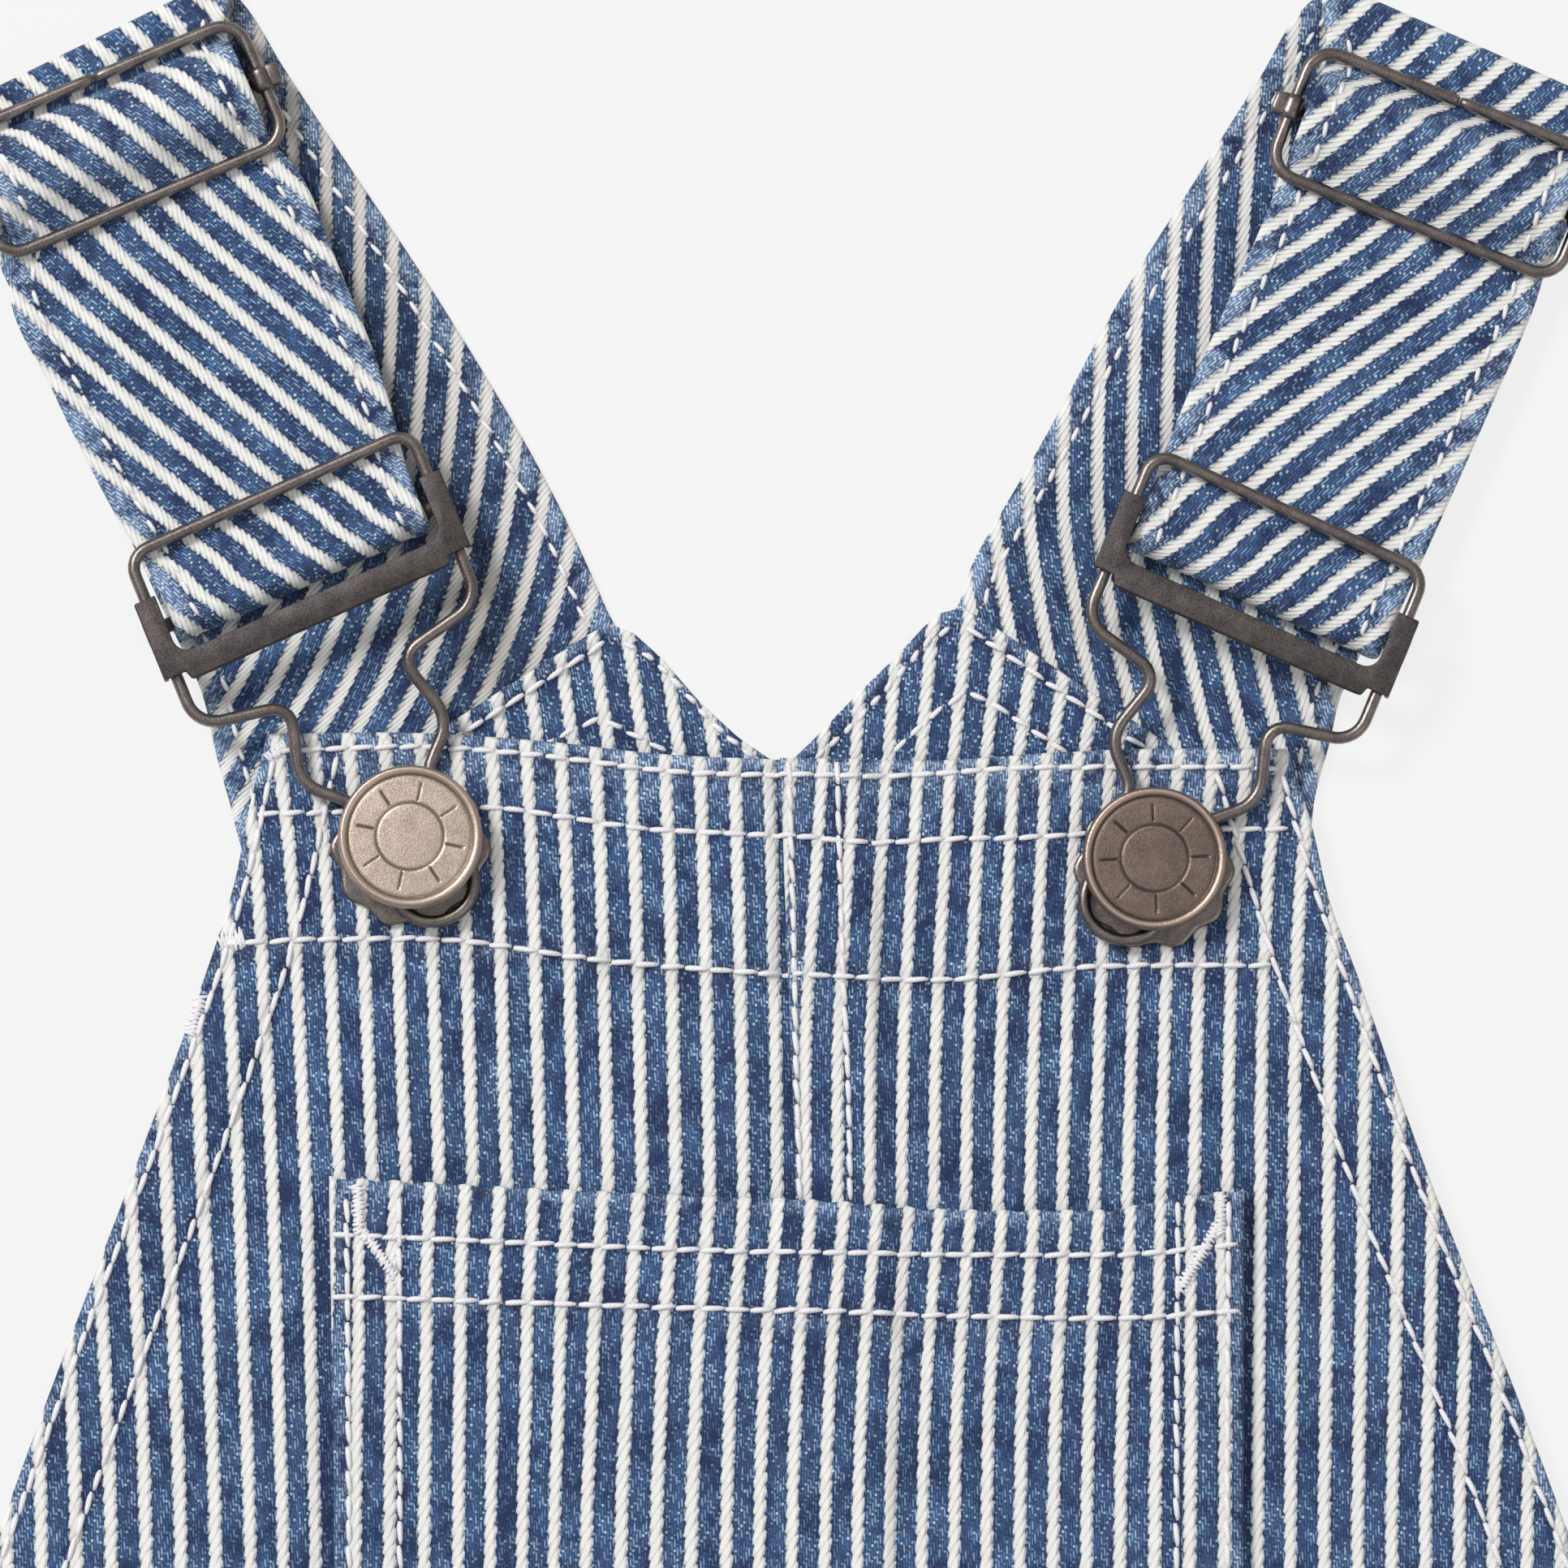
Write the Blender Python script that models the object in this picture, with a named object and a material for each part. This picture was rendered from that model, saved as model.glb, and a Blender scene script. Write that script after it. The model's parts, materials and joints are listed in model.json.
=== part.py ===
# Kids' bib overalls in striped denim, laid flat and buckled, with the front up.
# Lengths are in millimetres until a mesh is made, which turns them into metres.
# +X is the garment's left-to-right as seen from above, +Y runs to the straps, +Z is up.
# Y is measured from a line 3 mm below the middle of the bib's top edge, and shifted by
# RISE at the end, so that the origin lies under the middle of the whole part.
import math

import bmesh
import bpy
from mathutils import Vector

MM = 0.001
RISE = 301.6
BIB_TOP = 3.0

# Cloth
PLY = 1.2  # denim, with its nap
STRAP_PLY = 1.3  # two thin plies pressed together
HIDDEN_PLY = 1.0  # the strap's own end, behind the front stretch
SEAM_GAP = 0.3
BAND_EXTRA = 0.6  # what a turned edge adds to the ply
LIP = 0.45  # how far a top face draws in, so that an edge is not a sharp corner

# Front
FRONT_FLOOR = STRAP_PLY + SEAM_GAP  # the fronts lie on the backs and on the strap ends
TOP_BAND = 25.5
SIDE_BAND = 9.0
LAP_WIDTH = 9.0
LAP_SLOPE = 2.5
LEG_HEM = 20.0
LEG_MARKS = (0.0, 2.0, 9.0, 12.0)  # places across a leg, from its inner edge
PANEL_SHARES = (0.24, 0.5, 0.76)  # and across the panel beyond them
LAP_CLEAR = 6.0
UNDER_END = 0.2  # the hidden edge is thin up to here, and at least this much wider than nothing
UNDER_LEAST = 0.8
BAND_SLOPE = 1.5  # over which a turned edge thins out to one ply
DIP_FADE = 150.0  # where the bib's sideways sag has died out

# One row for each section across the fronts: how far below the bib's top edge it lies,
# its outer edges, the inner edges of the legs, and how far the cloth lifts off the back.
FRONT_SECTIONS = [
    {"drop": 0.0, "left": -61.3, "crotch_left": 0.0, "crotch_right": 0.0, "right": 59.6, "loft": 0.0},
    {"drop": 9.0, "left": -63.4, "crotch_left": 0.0, "crotch_right": 0.0, "right": 62.5, "loft": 0.0},
    {"drop": 18.0, "left": -65.2, "crotch_left": 0.0, "crotch_right": 0.0, "right": 64.6, "loft": 0.0},
    {"drop": 25.5, "left": -67.6, "crotch_left": 0.0, "crotch_right": 0.0, "right": 67.4, "loft": 0.0},
    {"drop": 27.5, "left": -68.2, "crotch_left": 0.0, "crotch_right": 0.0, "right": 68.1, "loft": 0.0},
    {"drop": 50.0, "left": -76.4, "crotch_left": 0.0, "crotch_right": 0.0, "right": 76.0, "loft": 0.0},
    {"drop": 75.0, "left": -86.0, "crotch_left": 0.0, "crotch_right": 0.0, "right": 86.0, "loft": 0.0},
    {"drop": 100.0, "left": -95.4, "crotch_left": 0.0, "crotch_right": 0.0, "right": 95.4, "loft": 0.0},
    {"drop": 125.0, "left": -105.8, "crotch_left": 0.0, "crotch_right": 0.0, "right": 105.8, "loft": 0.0},
    {"drop": 150.0, "left": -118.5, "crotch_left": 0.0, "crotch_right": 0.0, "right": 118.5, "loft": 0.0},
    {"drop": 168.0, "left": -130.5, "crotch_left": 0.0, "crotch_right": 0.0, "right": 130.5, "loft": 0.0},
    {"drop": 181.0, "left": -142.0, "crotch_left": 0.0, "crotch_right": 0.0, "right": 142.0, "loft": 0.1},
    {"drop": 188.0, "left": -149.0, "crotch_left": 0.0, "crotch_right": 0.0, "right": 149.0, "loft": 0.3},
    {"drop": 215.0, "left": -151.0, "crotch_left": 0.0, "crotch_right": 0.0, "right": 151.0, "loft": 0.8},
    {"drop": 260.0, "left": -154.0, "crotch_left": 0.0, "crotch_right": 0.0, "right": 154.0, "loft": 1.3},
    {"drop": 320.0, "left": -157.5, "crotch_left": 0.0, "crotch_right": 0.0, "right": 157.5, "loft": 1.6},
    {"drop": 372.0, "left": -158.5, "crotch_left": 0.0, "crotch_right": 0.0, "right": 158.5, "loft": 1.8},
    {"drop": 386.0, "left": -158.6, "crotch_left": -0.3, "crotch_right": 0.3, "right": 158.6, "loft": 1.9},
    {"drop": 400.0, "left": -158.6, "crotch_left": -5.0, "crotch_right": 5.0, "right": 158.6, "loft": 2.0},
    {"drop": 430.0, "left": -158.5, "crotch_left": -9.0, "crotch_right": 9.0, "right": 158.5, "loft": 2.2},
    {"drop": 500.0, "left": -158.0, "crotch_left": -13.5, "crotch_right": 14.0, "right": 158.3, "loft": 2.3},
    {"drop": 580.0, "left": -157.5, "crotch_left": -18.0, "crotch_right": 19.5, "right": 158.6, "loft": 2.2},
    {"drop": 650.0, "left": -157.0, "crotch_left": -21.5, "crotch_right": 24.0, "right": 158.8, "loft": 2.0},
    {"drop": 683.0, "left": -156.8, "crotch_left": -23.0, "crotch_right": 26.0, "right": 158.9, "loft": 1.8},
    {"drop": 685.0, "left": -156.8, "crotch_left": -23.1, "crotch_right": 26.1, "right": 158.9, "loft": 1.8},
    {"drop": 703.0, "left": -156.6, "crotch_left": -24.0, "crotch_right": 27.2, "right": 159.0, "loft": 1.5},
]
CROTCH_DROP = 386.0
ARMHOLE_DROP = 188.0

# How far the bib's cross lines stand above a straight line, by place across.
SAG = [
    {"across": -70.0, "rise": 2.9},
    {"across": -48.0, "rise": 3.2},
    {"across": -30.0, "rise": 2.3},
    {"across": -14.0, "rise": 0.6},
    {"across": 0.0, "rise": 0.0},
    {"across": 18.0, "rise": -0.1},
    {"across": 32.0, "rise": 0.8},
    {"across": 46.0, "rise": 1.3},
    {"across": 70.0, "rise": 1.2},
]

# The folded edge of the right front, which laps over the left one, by drop.
LAP_EDGE = [
    {"drop": 0.0, "across": -0.5},
    {"drop": 50.0, "across": 1.4},
    {"drop": CROTCH_DROP, "across": 1.4},
]

LAP_ENDS = (342.0, 372.0)  # where the left front's hidden edge narrows away

# Bib pocket, in the fronts' own drop
POCKET = {"left": -53.7, "right": 54.3, "top": 52.6, "bottom": 162.0, "hem": 14.5, "corner": 12.0}
POCKET_ROWS = (45.0, 75.0)  # places down the pocket, from its top
POCKET_SIDE = 8.0
RIDGE = {"before": 0.5, "after": 1.0, "foot": 2.5}  # where the pocket rides over the centre lap

# Back
BACK_INSET = 3.0  # the armhole edge of the back hides inside the front's
INSET_ENDS = 150.0
BACK_BLEND = (30.0, 120.0)  # where the back's rows even out below the neck
BACK_TOP_ROW = 4.0
NECK_SHARES = (0.0, 0.18, 0.4, 0.62, 0.84, 1.0)  # places along the neck and along the strap seam
SEAM_SHARES = (0.03, 0.3, 0.62, 1.0)
NECK_LEFT = [
    {"across": -0.15, "up": 2.4},
    {"across": -2.2, "up": 3.6},
    {"across": -5.6, "up": 6.0},
    {"across": -10.2, "up": 10.3},
    {"across": -14.4, "up": 15.2},
    {"across": -17.8, "up": 18.3},
    {"across": -20.7, "up": 19.4},
]
NECK_RIGHT = [
    {"across": 0.15, "up": 2.4},
    {"across": 3.5, "up": 5.6},
    {"across": 7.8, "up": 10.1},
    {"across": 13.8, "up": 16.0},
    {"across": 16.7, "up": 19.2},
    {"across": 18.5, "up": 20.7},
    {"across": 21.2, "up": 21.4},
]
# Straps. Each row is a rung across the strap, from its inner to its outer edge.
# The back stretch lies on the floor, from the seam with the back up to the shoulder fold.
BACK_STRETCH_LEFT = [
    {"inner_x": -20.4, "inner_y": 19.9, "outer_x": -64.0, "outer_y": -8.2},
    {"inner_x": -22.8, "inner_y": 25.2, "outer_x": -65.7, "outer_y": -2.2},
    {"inner_x": -25.8, "inner_y": 31.7, "outer_x": -67.3, "outer_y": 3.5},
    {"inner_x": -29.1, "inner_y": 38.1, "outer_x": -69.2, "outer_y": 11.4},
    {"inner_x": -32.6, "inner_y": 44.3, "outer_x": -73.0, "outer_y": 19.5},
    {"inner_x": -41.8, "inner_y": 59.4, "outer_x": -81.8, "outer_y": 38.2},
    {"inner_x": -51.1, "inner_y": 73.4, "outer_x": -90.3, "outer_y": 55.8},
    {"inner_x": -59.7, "inner_y": 86.4, "outer_x": -97.4, "outer_y": 70.9},
    {"inner_x": -65.0, "inner_y": 94.7, "outer_x": -100.7, "outer_y": 77.8},
]
BACK_STRETCH_RIGHT = [
    {"inner_x": 20.8, "inner_y": 21.9, "outer_x": 62.2, "outer_y": -6.4},
    {"inner_x": 21.8, "inner_y": 25.2, "outer_x": 63.0, "outer_y": -1.2},
    {"inner_x": 23.5, "inner_y": 28.8, "outer_x": 64.6, "outer_y": 4.6},
    {"inner_x": 27.6, "inner_y": 35.8, "outer_x": 66.2, "outer_y": 11.0},
    {"inner_x": 31.7, "inner_y": 43.0, "outer_x": 69.8, "outer_y": 18.4},
    {"inner_x": 39.7, "inner_y": 57.9, "outer_x": 78.8, "outer_y": 36.9},
    {"inner_x": 48.7, "inner_y": 72.3, "outer_x": 87.8, "outer_y": 55.4},
    {"inner_x": 56.9, "inner_y": 85.4, "outer_x": 95.4, "outer_y": 71.0},
    {"inner_x": 62.6, "inner_y": 94.2, "outer_x": 99.4, "outer_y": 79.0},
]

# The front stretch, from the slider down to the buckle: how far each edge lies from the
# middle line, and how far the cloth lifts towards the buckle's bar.
FRONT_STRETCH_LEFT = [
    {"share": 0.0, "inner": 18.0, "outer": 18.9, "lift": 0.0},
    {"share": 0.3, "inner": 18.2, "outer": 18.9, "lift": 0.0},
    {"share": 0.55, "inner": 18.1, "outer": 18.2, "lift": 0.1},
    {"share": 0.72, "inner": 17.4, "outer": 17.4, "lift": 0.45},
    {"share": 0.86, "inner": 16.5, "outer": 16.5, "lift": 1.2},
]
FRONT_STRETCH_RIGHT = [
    {"share": 0.0, "inner": 16.6, "outer": 17.1, "lift": 0.0},
    {"share": 0.3, "inner": 16.7, "outer": 17.0, "lift": 0.0},
    {"share": 0.55, "inner": 16.8, "outer": 16.8, "lift": 0.1},
    {"share": 0.72, "inner": 16.7, "outer": 16.6, "lift": 0.45},
    {"share": 0.86, "inner": 16.5, "outer": 16.5, "lift": 1.2},
]

# How the strap crosses the slider: how far up from its middle, half the strap's width, and
# how much of the way it has risen from under the wires to over the bar.
SLIDER_WAVE = [
    {"up": 7.95, "half": 16.9, "rise": 0.0},
    {"up": 6.5, "half": 16.5, "rise": 0.02},
    {"up": 5.0, "half": 16.6, "rise": 0.36},
    {"up": 3.5, "half": 16.6, "rise": 0.8},
    {"up": 1.8, "half": 16.6, "rise": 1.0},
    {"up": 0.0, "half": 16.6, "rise": 1.02},
    {"up": -1.8, "half": 16.6, "rise": 0.97},
    {"up": -3.8, "half": 16.6, "rise": 0.66},
    {"up": -5.2, "half": 16.6, "rise": 0.28},
    {"up": -6.6, "half": 16.5, "rise": 0.01},
    {"up": -7.95, "half": 16.8, "rise": 0.0},
]

# The strap's end on its way back behind the front stretch, and how it turns up at the slider.
RETURN_STRETCH = [
    {"share": 0.14, "ply": STRAP_PLY},
    {"share": 0.3, "ply": HIDDEN_PLY},
    {"share": 0.6, "ply": HIDDEN_PLY},
]
RETURN_UPS = (-10.0, -6.5, -3.0)
RETURN_LIFT = 0.15
STRETCH_TOP = -11.0  # where the front stretch starts, below the slider's middle

# Each side's own places: the button, the point that the buckle is drawn from, half the width
# of its wire, the slider, the ends of the shoulder fold, and the strap's tables.
SIDES = [
    {
        "name": "left",
        "hand": -1,
        "button": (-44.2, -6.8),
        "buckle": (-43.84, -6.64),
        "buckle_lean": 24.2,
        "wire_half": 18.3,
        "slider": (-79.0, 77.06),
        "slider_lean": 23.0,
        "fold_inner": (-66.9, 97.3),
        "fold_outer": (-101.6, 80.0),
        "neck": NECK_LEFT,
        "back_stretch": BACK_STRETCH_LEFT,
        "front_stretch": FRONT_STRETCH_LEFT,
    },
    {
        "name": "right",
        "hand": 1,
        "button": (43.8, -9.4),
        "buckle": (42.68, -8.84),
        "buckle_lean": 24.3,
        "wire_half": 17.6,
        "slider": (77.5, 74.15),
        "slider_lean": 21.4,
        "fold_inner": (64.8, 96.9),
        "fold_outer": (100.4, 80.9),
        "neck": NECK_RIGHT,
        "back_stretch": BACK_STRETCH_RIGHT,
        "front_stretch": FRONT_STRETCH_RIGHT,
    },
]
FOLD_RADIUS = 1.15  # of the strap's middle, at the shoulder
PLY_GAP = 0.3  # between the strap's own plies
BAR_PLAY = 0.25  # between the strap and the wire that it turns about
TURN_HALF = 16.3  # half the strap's width where it turns about a bar

# Slider
SLIDER_HALF_WIDTH = 18.3
SLIDER_HALF_HEIGHT = 7.95
SLIDER_CORNER = 3.1
SLIDER_WIRE = 0.74  # radius
SLIDER_LEVEL = 5.2
SLIDER_BAR_RADIUS = 0.8
SLIDER_BAR_DROP = 1.0  # the centre bar hangs behind the frame
SLIDER_BAR_SHORT = 1.15  # the bar's ends stop inside the clasps
CLASP_LENGTH = 3.0
CLASP_OUTER = 1.35
CLASP_INNER = 1.0
CLASP_SIDES = 16
KNOB = {"start": 1.05, "end": 2.3, "half_length": 1.3, "half_height": 1.0}  # the clasp's folded end

# Buckle, in its own axes: across the strap, and up it from the button's middle
BUCKLE_WIRE = 0.73  # radius
BUCKLE_LEVEL = 6.3  # of the wire, at the plate
BUTTON_LEVEL = 5.08  # of the wire, at the button
PULLED = {"from": 14.0, "slope": 0.034}  # the strap pulls the buckle's top towards the middle
WIRE_SLOPE = (9.0, 25.0)  # where the wire climbs from the button to the plate
WIRE_CORNERS = [
    {"across": 4.8, "up": -10.5, "radius": 4.6},
    {"across": 4.8, "up": 6.7, "radius": 3.0},
    {"across": 9.7, "up": 11.3, "radius": 4.4},
    {"across": 7.0, "up": 20.3, "radius": 2.4},
]
WIRE_SHOULDER = {"up": 22.5, "radius": 3.6}
WIRE_TOP = {"up": 44.4, "radius": 2.5}
# The plate: its sides beyond the wire, its arms and the notch within it, and its heights
PLATE = {"beyond": 1.45, "arm": 1.2, "notch": 1.6, "ends": 28.8, "bottom": 27.7, "bar_top": 31.0, "top": 38.6}
PLATE_THICK = 0.6
PLATE_CORNER = 1.8
PLATE_LEVEL = BUCKLE_LEVEL + BUCKLE_WIRE + SEAM_GAP
WALL_THICK = 0.5  # the plate's rolled sides
WALL_PROUD = 0.06  # they stand out a little from the plate's edge
PLATE_OVERLAP = 0.1  # by which joined parts run into each other
BAR_UP = 35.2
BAR_RADIUS = 0.9
BAR_LEVEL = 4.1
EAR_HALF = 1.4

# Button
BUTTON_RADIUS = 8.55
CAP_BOTTOM = 6.05
CAP_FACE = 7.75
CAP_RIM = 8.2
COLLAR_RADIUS = 9.15
COLLAR_SLIP = 1.0  # it sits a little low behind the cap
COLLAR_WAVE = 0.4
COLLAR_LOBES = 10
COLLAR_THICK = 0.5
SHANK_RADIUS = 2.3

TUBE_SIDES = 8
BAR_SIDES = 12
ROUND_SIDES = 60

DENIM = (0.075, 0.135, 0.26, 1.0)
METAL = (0.20, 0.165, 0.15, 1.0)


def clear_scene():
    for thing in list(bpy.data.objects):
        bpy.data.objects.remove(thing, do_unlink=True)


def look_up(table, key, value, at):
    """Reads a column of a table at a place between its rows."""
    if at <= table[0][key]:
        return table[0][value]
    for low, high in zip(table, table[1:]):
        if at <= high[key]:
            share = (at - low[key]) / (high[key] - low[key])
            return low[value] + share * (high[value] - low[value])
    return table[-1][value]


def ease(low, high, at):
    share = min(max((at - low) / (high - low), 0.0), 1.0)
    return share * share * (3 - 2 * share)


def make_material(name, colour, metallic, roughness):
    material = bpy.data.materials.new(name)
    material.use_nodes = True
    shader = material.node_tree.nodes["Principled BSDF"]
    shader.inputs["Base Color"].default_value = colour
    shader.inputs["Metallic"].default_value = metallic
    shader.inputs["Roughness"].default_value = roughness
    return material


def add_object(name, mesh_data, parent, material):
    mesh = bpy.data.meshes.new(name)
    mesh_data.normal_update()
    mesh_data.to_mesh(mesh)
    mesh_data.free()
    mesh.materials.append(material)
    piece = bpy.data.objects.new(name, mesh)
    bpy.context.scene.collection.objects.link(piece)
    piece.parent = parent
    return piece


def in_metres(x, y, z):
    return Vector((x * MM, y * MM, z * MM))


def close_slab(lower, upper):
    """Closes two equal grids of points into one solid: lower face, upper face and rim."""
    shape = bmesh.new()
    rows, columns = len(lower), len(lower[0])
    low = [[shape.verts.new(in_metres(*point)) for point in row] for row in lower]
    high = [[shape.verts.new(in_metres(*point)) for point in row] for row in upper]
    for i in range(rows - 1):
        for j in range(columns - 1):
            shape.faces.new((low[i][j], low[i][j + 1], low[i + 1][j + 1], low[i + 1][j]))
            shape.faces.new((high[i][j], high[i + 1][j], high[i + 1][j + 1], high[i][j + 1]))
    ring = [(0, j) for j in range(columns - 1)]
    ring += [(i, columns - 1) for i in range(rows - 1)]
    ring += [(rows - 1, j) for j in range(columns - 1, 0, -1)]
    ring += [(i, 0) for i in range(rows - 1, 0, -1)]
    for (i, j), (k, m) in zip(ring, ring[1:] + ring[:1]):
        shape.faces.new((low[i][j], high[i][j], high[k][m], low[k][m]))
    bmesh.ops.recalc_face_normals(shape, faces=shape.faces)
    return shape


def draw_in(grid, amount):
    """Moves the outermost points of a grid inwards in plan, for a soft edge."""
    rows, columns = len(grid), len(grid[0])
    drawn = [list(row) for row in grid]
    for i in range(rows):
        for j in range(columns):
            inner_i = min(max(i, 1), rows - 2)
            inner_j = min(max(j, 1), columns - 2)
            if (inner_i, inner_j) == (i, j):
                continue
            x, y, z = grid[i][j]
            along = (grid[inner_i][j][0] - x, grid[inner_i][j][1] - y)
            across = (grid[i][inner_j][0] - x, grid[i][inner_j][1] - y)
            for dx, dy in (along, across):
                length = math.hypot(dx, dy)
                if length > 1e-6:
                    x += dx / length * amount
                    y += dy / length * amount
            drawn[i][j] = (x, y, z)
    return drawn


def sag(across, drop):
    fade = 1.0 - ease(0.0, DIP_FADE, drop)
    return look_up(SAG, "across", "rise", across) * fade


def lap_edge(drop):
    return look_up(LAP_EDGE, "drop", "across", drop)


def front_row(side, section):
    """Places across one front, from the centre out to the side edge."""
    drop, hand = section["drop"], side["hand"]
    outer, inner = section[side["name"]], section["crotch_" + side["name"]]
    edge = lap_edge(drop)
    if drop >= CROTCH_DROP:
        marks = [inner + hand * step for step in LEG_MARKS]
    elif hand < 0:
        under = LAP_WIDTH * (1.0 - ease(*LAP_ENDS, drop)) - SEAM_GAP
        marks = [edge + under, edge + min(UNDER_END, under - UNDER_LEAST), edge - LAP_SLOPE, edge - LAP_CLEAR]
    else:
        over = LAP_WIDTH + SEAM_GAP
        marks = [edge, edge + over / 3, edge + over, edge + over + LAP_SLOPE]
    band = outer - hand * SIDE_BAND
    marks += [marks[3] + share * (band - marks[3]) for share in PANEL_SHARES]
    marks += [band, band + hand * BAND_SLOPE, outer]
    return marks


def front_levels(side, section, j, places):
    """Bottom and top of the cloth at the j-th place across a front."""
    drop, loft, hand = section["drop"], section["loft"], side["hand"]
    width = abs(places[-1] - places[0])
    share = abs(places[j] - places[0]) / width
    bottom = FRONT_FLOOR + loft * math.sin(math.pi * share)
    top_band = drop <= TOP_BAND
    hem = drop >= FRONT_SECTIONS[-1]["drop"] - LEG_HEM + BAND_SLOPE
    side_band = j >= len(places) - 2 and drop <= ARMHOLE_DROP
    extra = BAND_EXTRA if top_band or hem or side_band else 0.0
    if drop < CROTCH_DROP and hand < 0 and j <= 1:
        return FRONT_FLOOR, FRONT_FLOOR + HIDDEN_PLY
    if drop < CROTCH_DROP and hand > 0 and j <= 2:
        lap_floor = FRONT_FLOOR + HIDDEN_PLY + SEAM_GAP
        return lap_floor, lap_floor + PLY + extra
    return bottom, bottom + PLY + extra


def make_front(side, parent, material):
    lower, upper = [], []
    for section in FRONT_SECTIONS:
        drop = section["drop"]
        places = front_row(side, section)
        low_row, high_row = [], []
        for j, across in enumerate(places):
            up = BIB_TOP - drop + sag(across, drop)
            low, high = front_levels(side, section, j, places)
            low_row.append((across, up, low))
            high_row.append((across, up, high))
        lower.append(low_row)
        upper.append(high_row)
    shape = close_slab(lower, draw_in(upper, LIP))
    return add_object(f"front_{side['name']}", shape, parent, material)


def make_pocket(parent, material):
    """A patch whose underside follows both fronts and the centre lap, moved out."""
    top, bottom = POCKET["top"], POCKET["bottom"]
    drops = [top, top + POCKET["hem"], top + POCKET["hem"] + BAND_SLOPE]
    drops += [top + step for step in POCKET_ROWS]
    drops += [bottom - POCKET["corner"], bottom]
    flat_floor = FRONT_FLOOR + PLY + SEAM_GAP
    lap_floor = FRONT_FLOOR + HIDDEN_PLY + SEAM_GAP + PLY + SEAM_GAP
    lower, upper = [], []
    for drop in drops:
        edge = lap_edge(drop)
        corner = POCKET["corner"] if drop == bottom else 0.0
        left, right = POCKET["left"] + corner, POCKET["right"] - corner
        ridge = (edge - RIDGE["before"], edge + LAP_WIDTH + RIDGE["after"])
        foot = ridge[1] + LAP_SLOPE
        places = [left, left + POCKET_SIDE, (left + ridge[0]) / 2, ridge[0] - RIDGE["foot"]]
        places += [ridge[0], ridge[1], foot]
        places += [(foot + right) / 2, right - POCKET_SIDE, right]
        extra = BAND_EXTRA * (1.0 - ease(top + POCKET["hem"], top + POCKET["hem"] + BAND_SLOPE, drop))
        low_row, high_row = [], []
        for j, across in enumerate(places):
            up = BIB_TOP - drop + sag(across, drop)
            low = lap_floor if j in (4, 5) else flat_floor
            low_row.append((across, up, low))
            high_row.append((across, up, low + PLY + extra))
        lower.append(low_row)
        upper.append(high_row)
    return add_object("bib_pocket", close_slab(lower, draw_in(upper, LIP)), parent, material)


def along(points, share):
    """A point part of the way along a line of points, by length."""
    lengths = [math.dist(a, b) for a, b in zip(points, points[1:])]
    want = share * sum(lengths)
    for start, end, length in zip(points, points[1:], lengths):
        if want <= length:
            part = want / length
            return (start[0] + part * (end[0] - start[0]), start[1] + part * (end[1] - start[1]))
        want -= length
    return points[-1]


def make_back(side, parent, material):
    """One back half. Its top row runs along the V neck and then down the strap seam."""
    hand, name = side["hand"], side["name"]
    neck = [(row["across"], row["up"]) for row in side["neck"]]
    first = side["back_stretch"][0]
    seam = [(first["inner_x"], first["inner_y"]), (first["outer_x"], first["outer_y"])]
    length = math.dist(*seam)
    down = ((seam[1][1] - seam[0][1]) / length * hand, (seam[0][0] - seam[1][0]) / length * hand)
    seam = [(x + down[0] * SEAM_GAP, y + down[1] * SEAM_GAP) for x, y in seam]
    top = [along(neck, share) for share in NECK_SHARES]
    top += [along(seam, share) for share in SEAM_SHARES]
    count = len(top)
    lower, upper = [], []
    gap = hand * SEAM_GAP / 2
    outer_shares = [abs(point[0]) / abs(top[-1][0]) for point in top]
    even = [j / (count - 1) for j in range(count)]
    rows = [[(x, y) for x, y in top]]
    rows.append([(x, y - BACK_TOP_ROW) for x, y in top])
    for section in FRONT_SECTIONS:
        drop = section["drop"]
        if drop < BACK_BLEND[0]:
            continue
        inset = BACK_INSET * (1.0 - ease(INSET_ENDS, ARMHOLE_DROP, drop))
        outer = section[name] - hand * inset
        inner = section["crotch_" + name]
        inner = gap if abs(inner) < abs(gap) else inner
        blend = ease(*BACK_BLEND, drop)
        row = []
        for near, far in zip(outer_shares, even):
            share = near + blend * (far - near)
            x = inner + share * (outer - inner)
            row.append((x, BIB_TOP - drop + sag(x, drop)))
        rows.append(row)
    for row in rows:
        lower.append([(x, y, 0.0) for x, y in row])
        upper.append([(x, y, PLY) for x, y in row])
    return add_object(f"back_{name}", close_slab(lower, draw_in(upper, LIP)), parent, material)


def leaned(side, lean, origin, across, up):
    """A point given across and up a strap that leans outwards, in plan."""
    angle = math.radians(lean) * side
    out = (math.cos(angle), -math.sin(angle))
    rise = (math.sin(angle), math.cos(angle))
    return (
        origin[0] + across * out[0] + up * rise[0],
        origin[1] + across * out[1] + up * rise[1],
    )


def pulled(hand, up):
    """How far a point of the buckle is drawn sideways, across it, by its height."""
    return -hand * PULLED["slope"] * max(up - PULLED["from"], 0.0)


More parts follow.
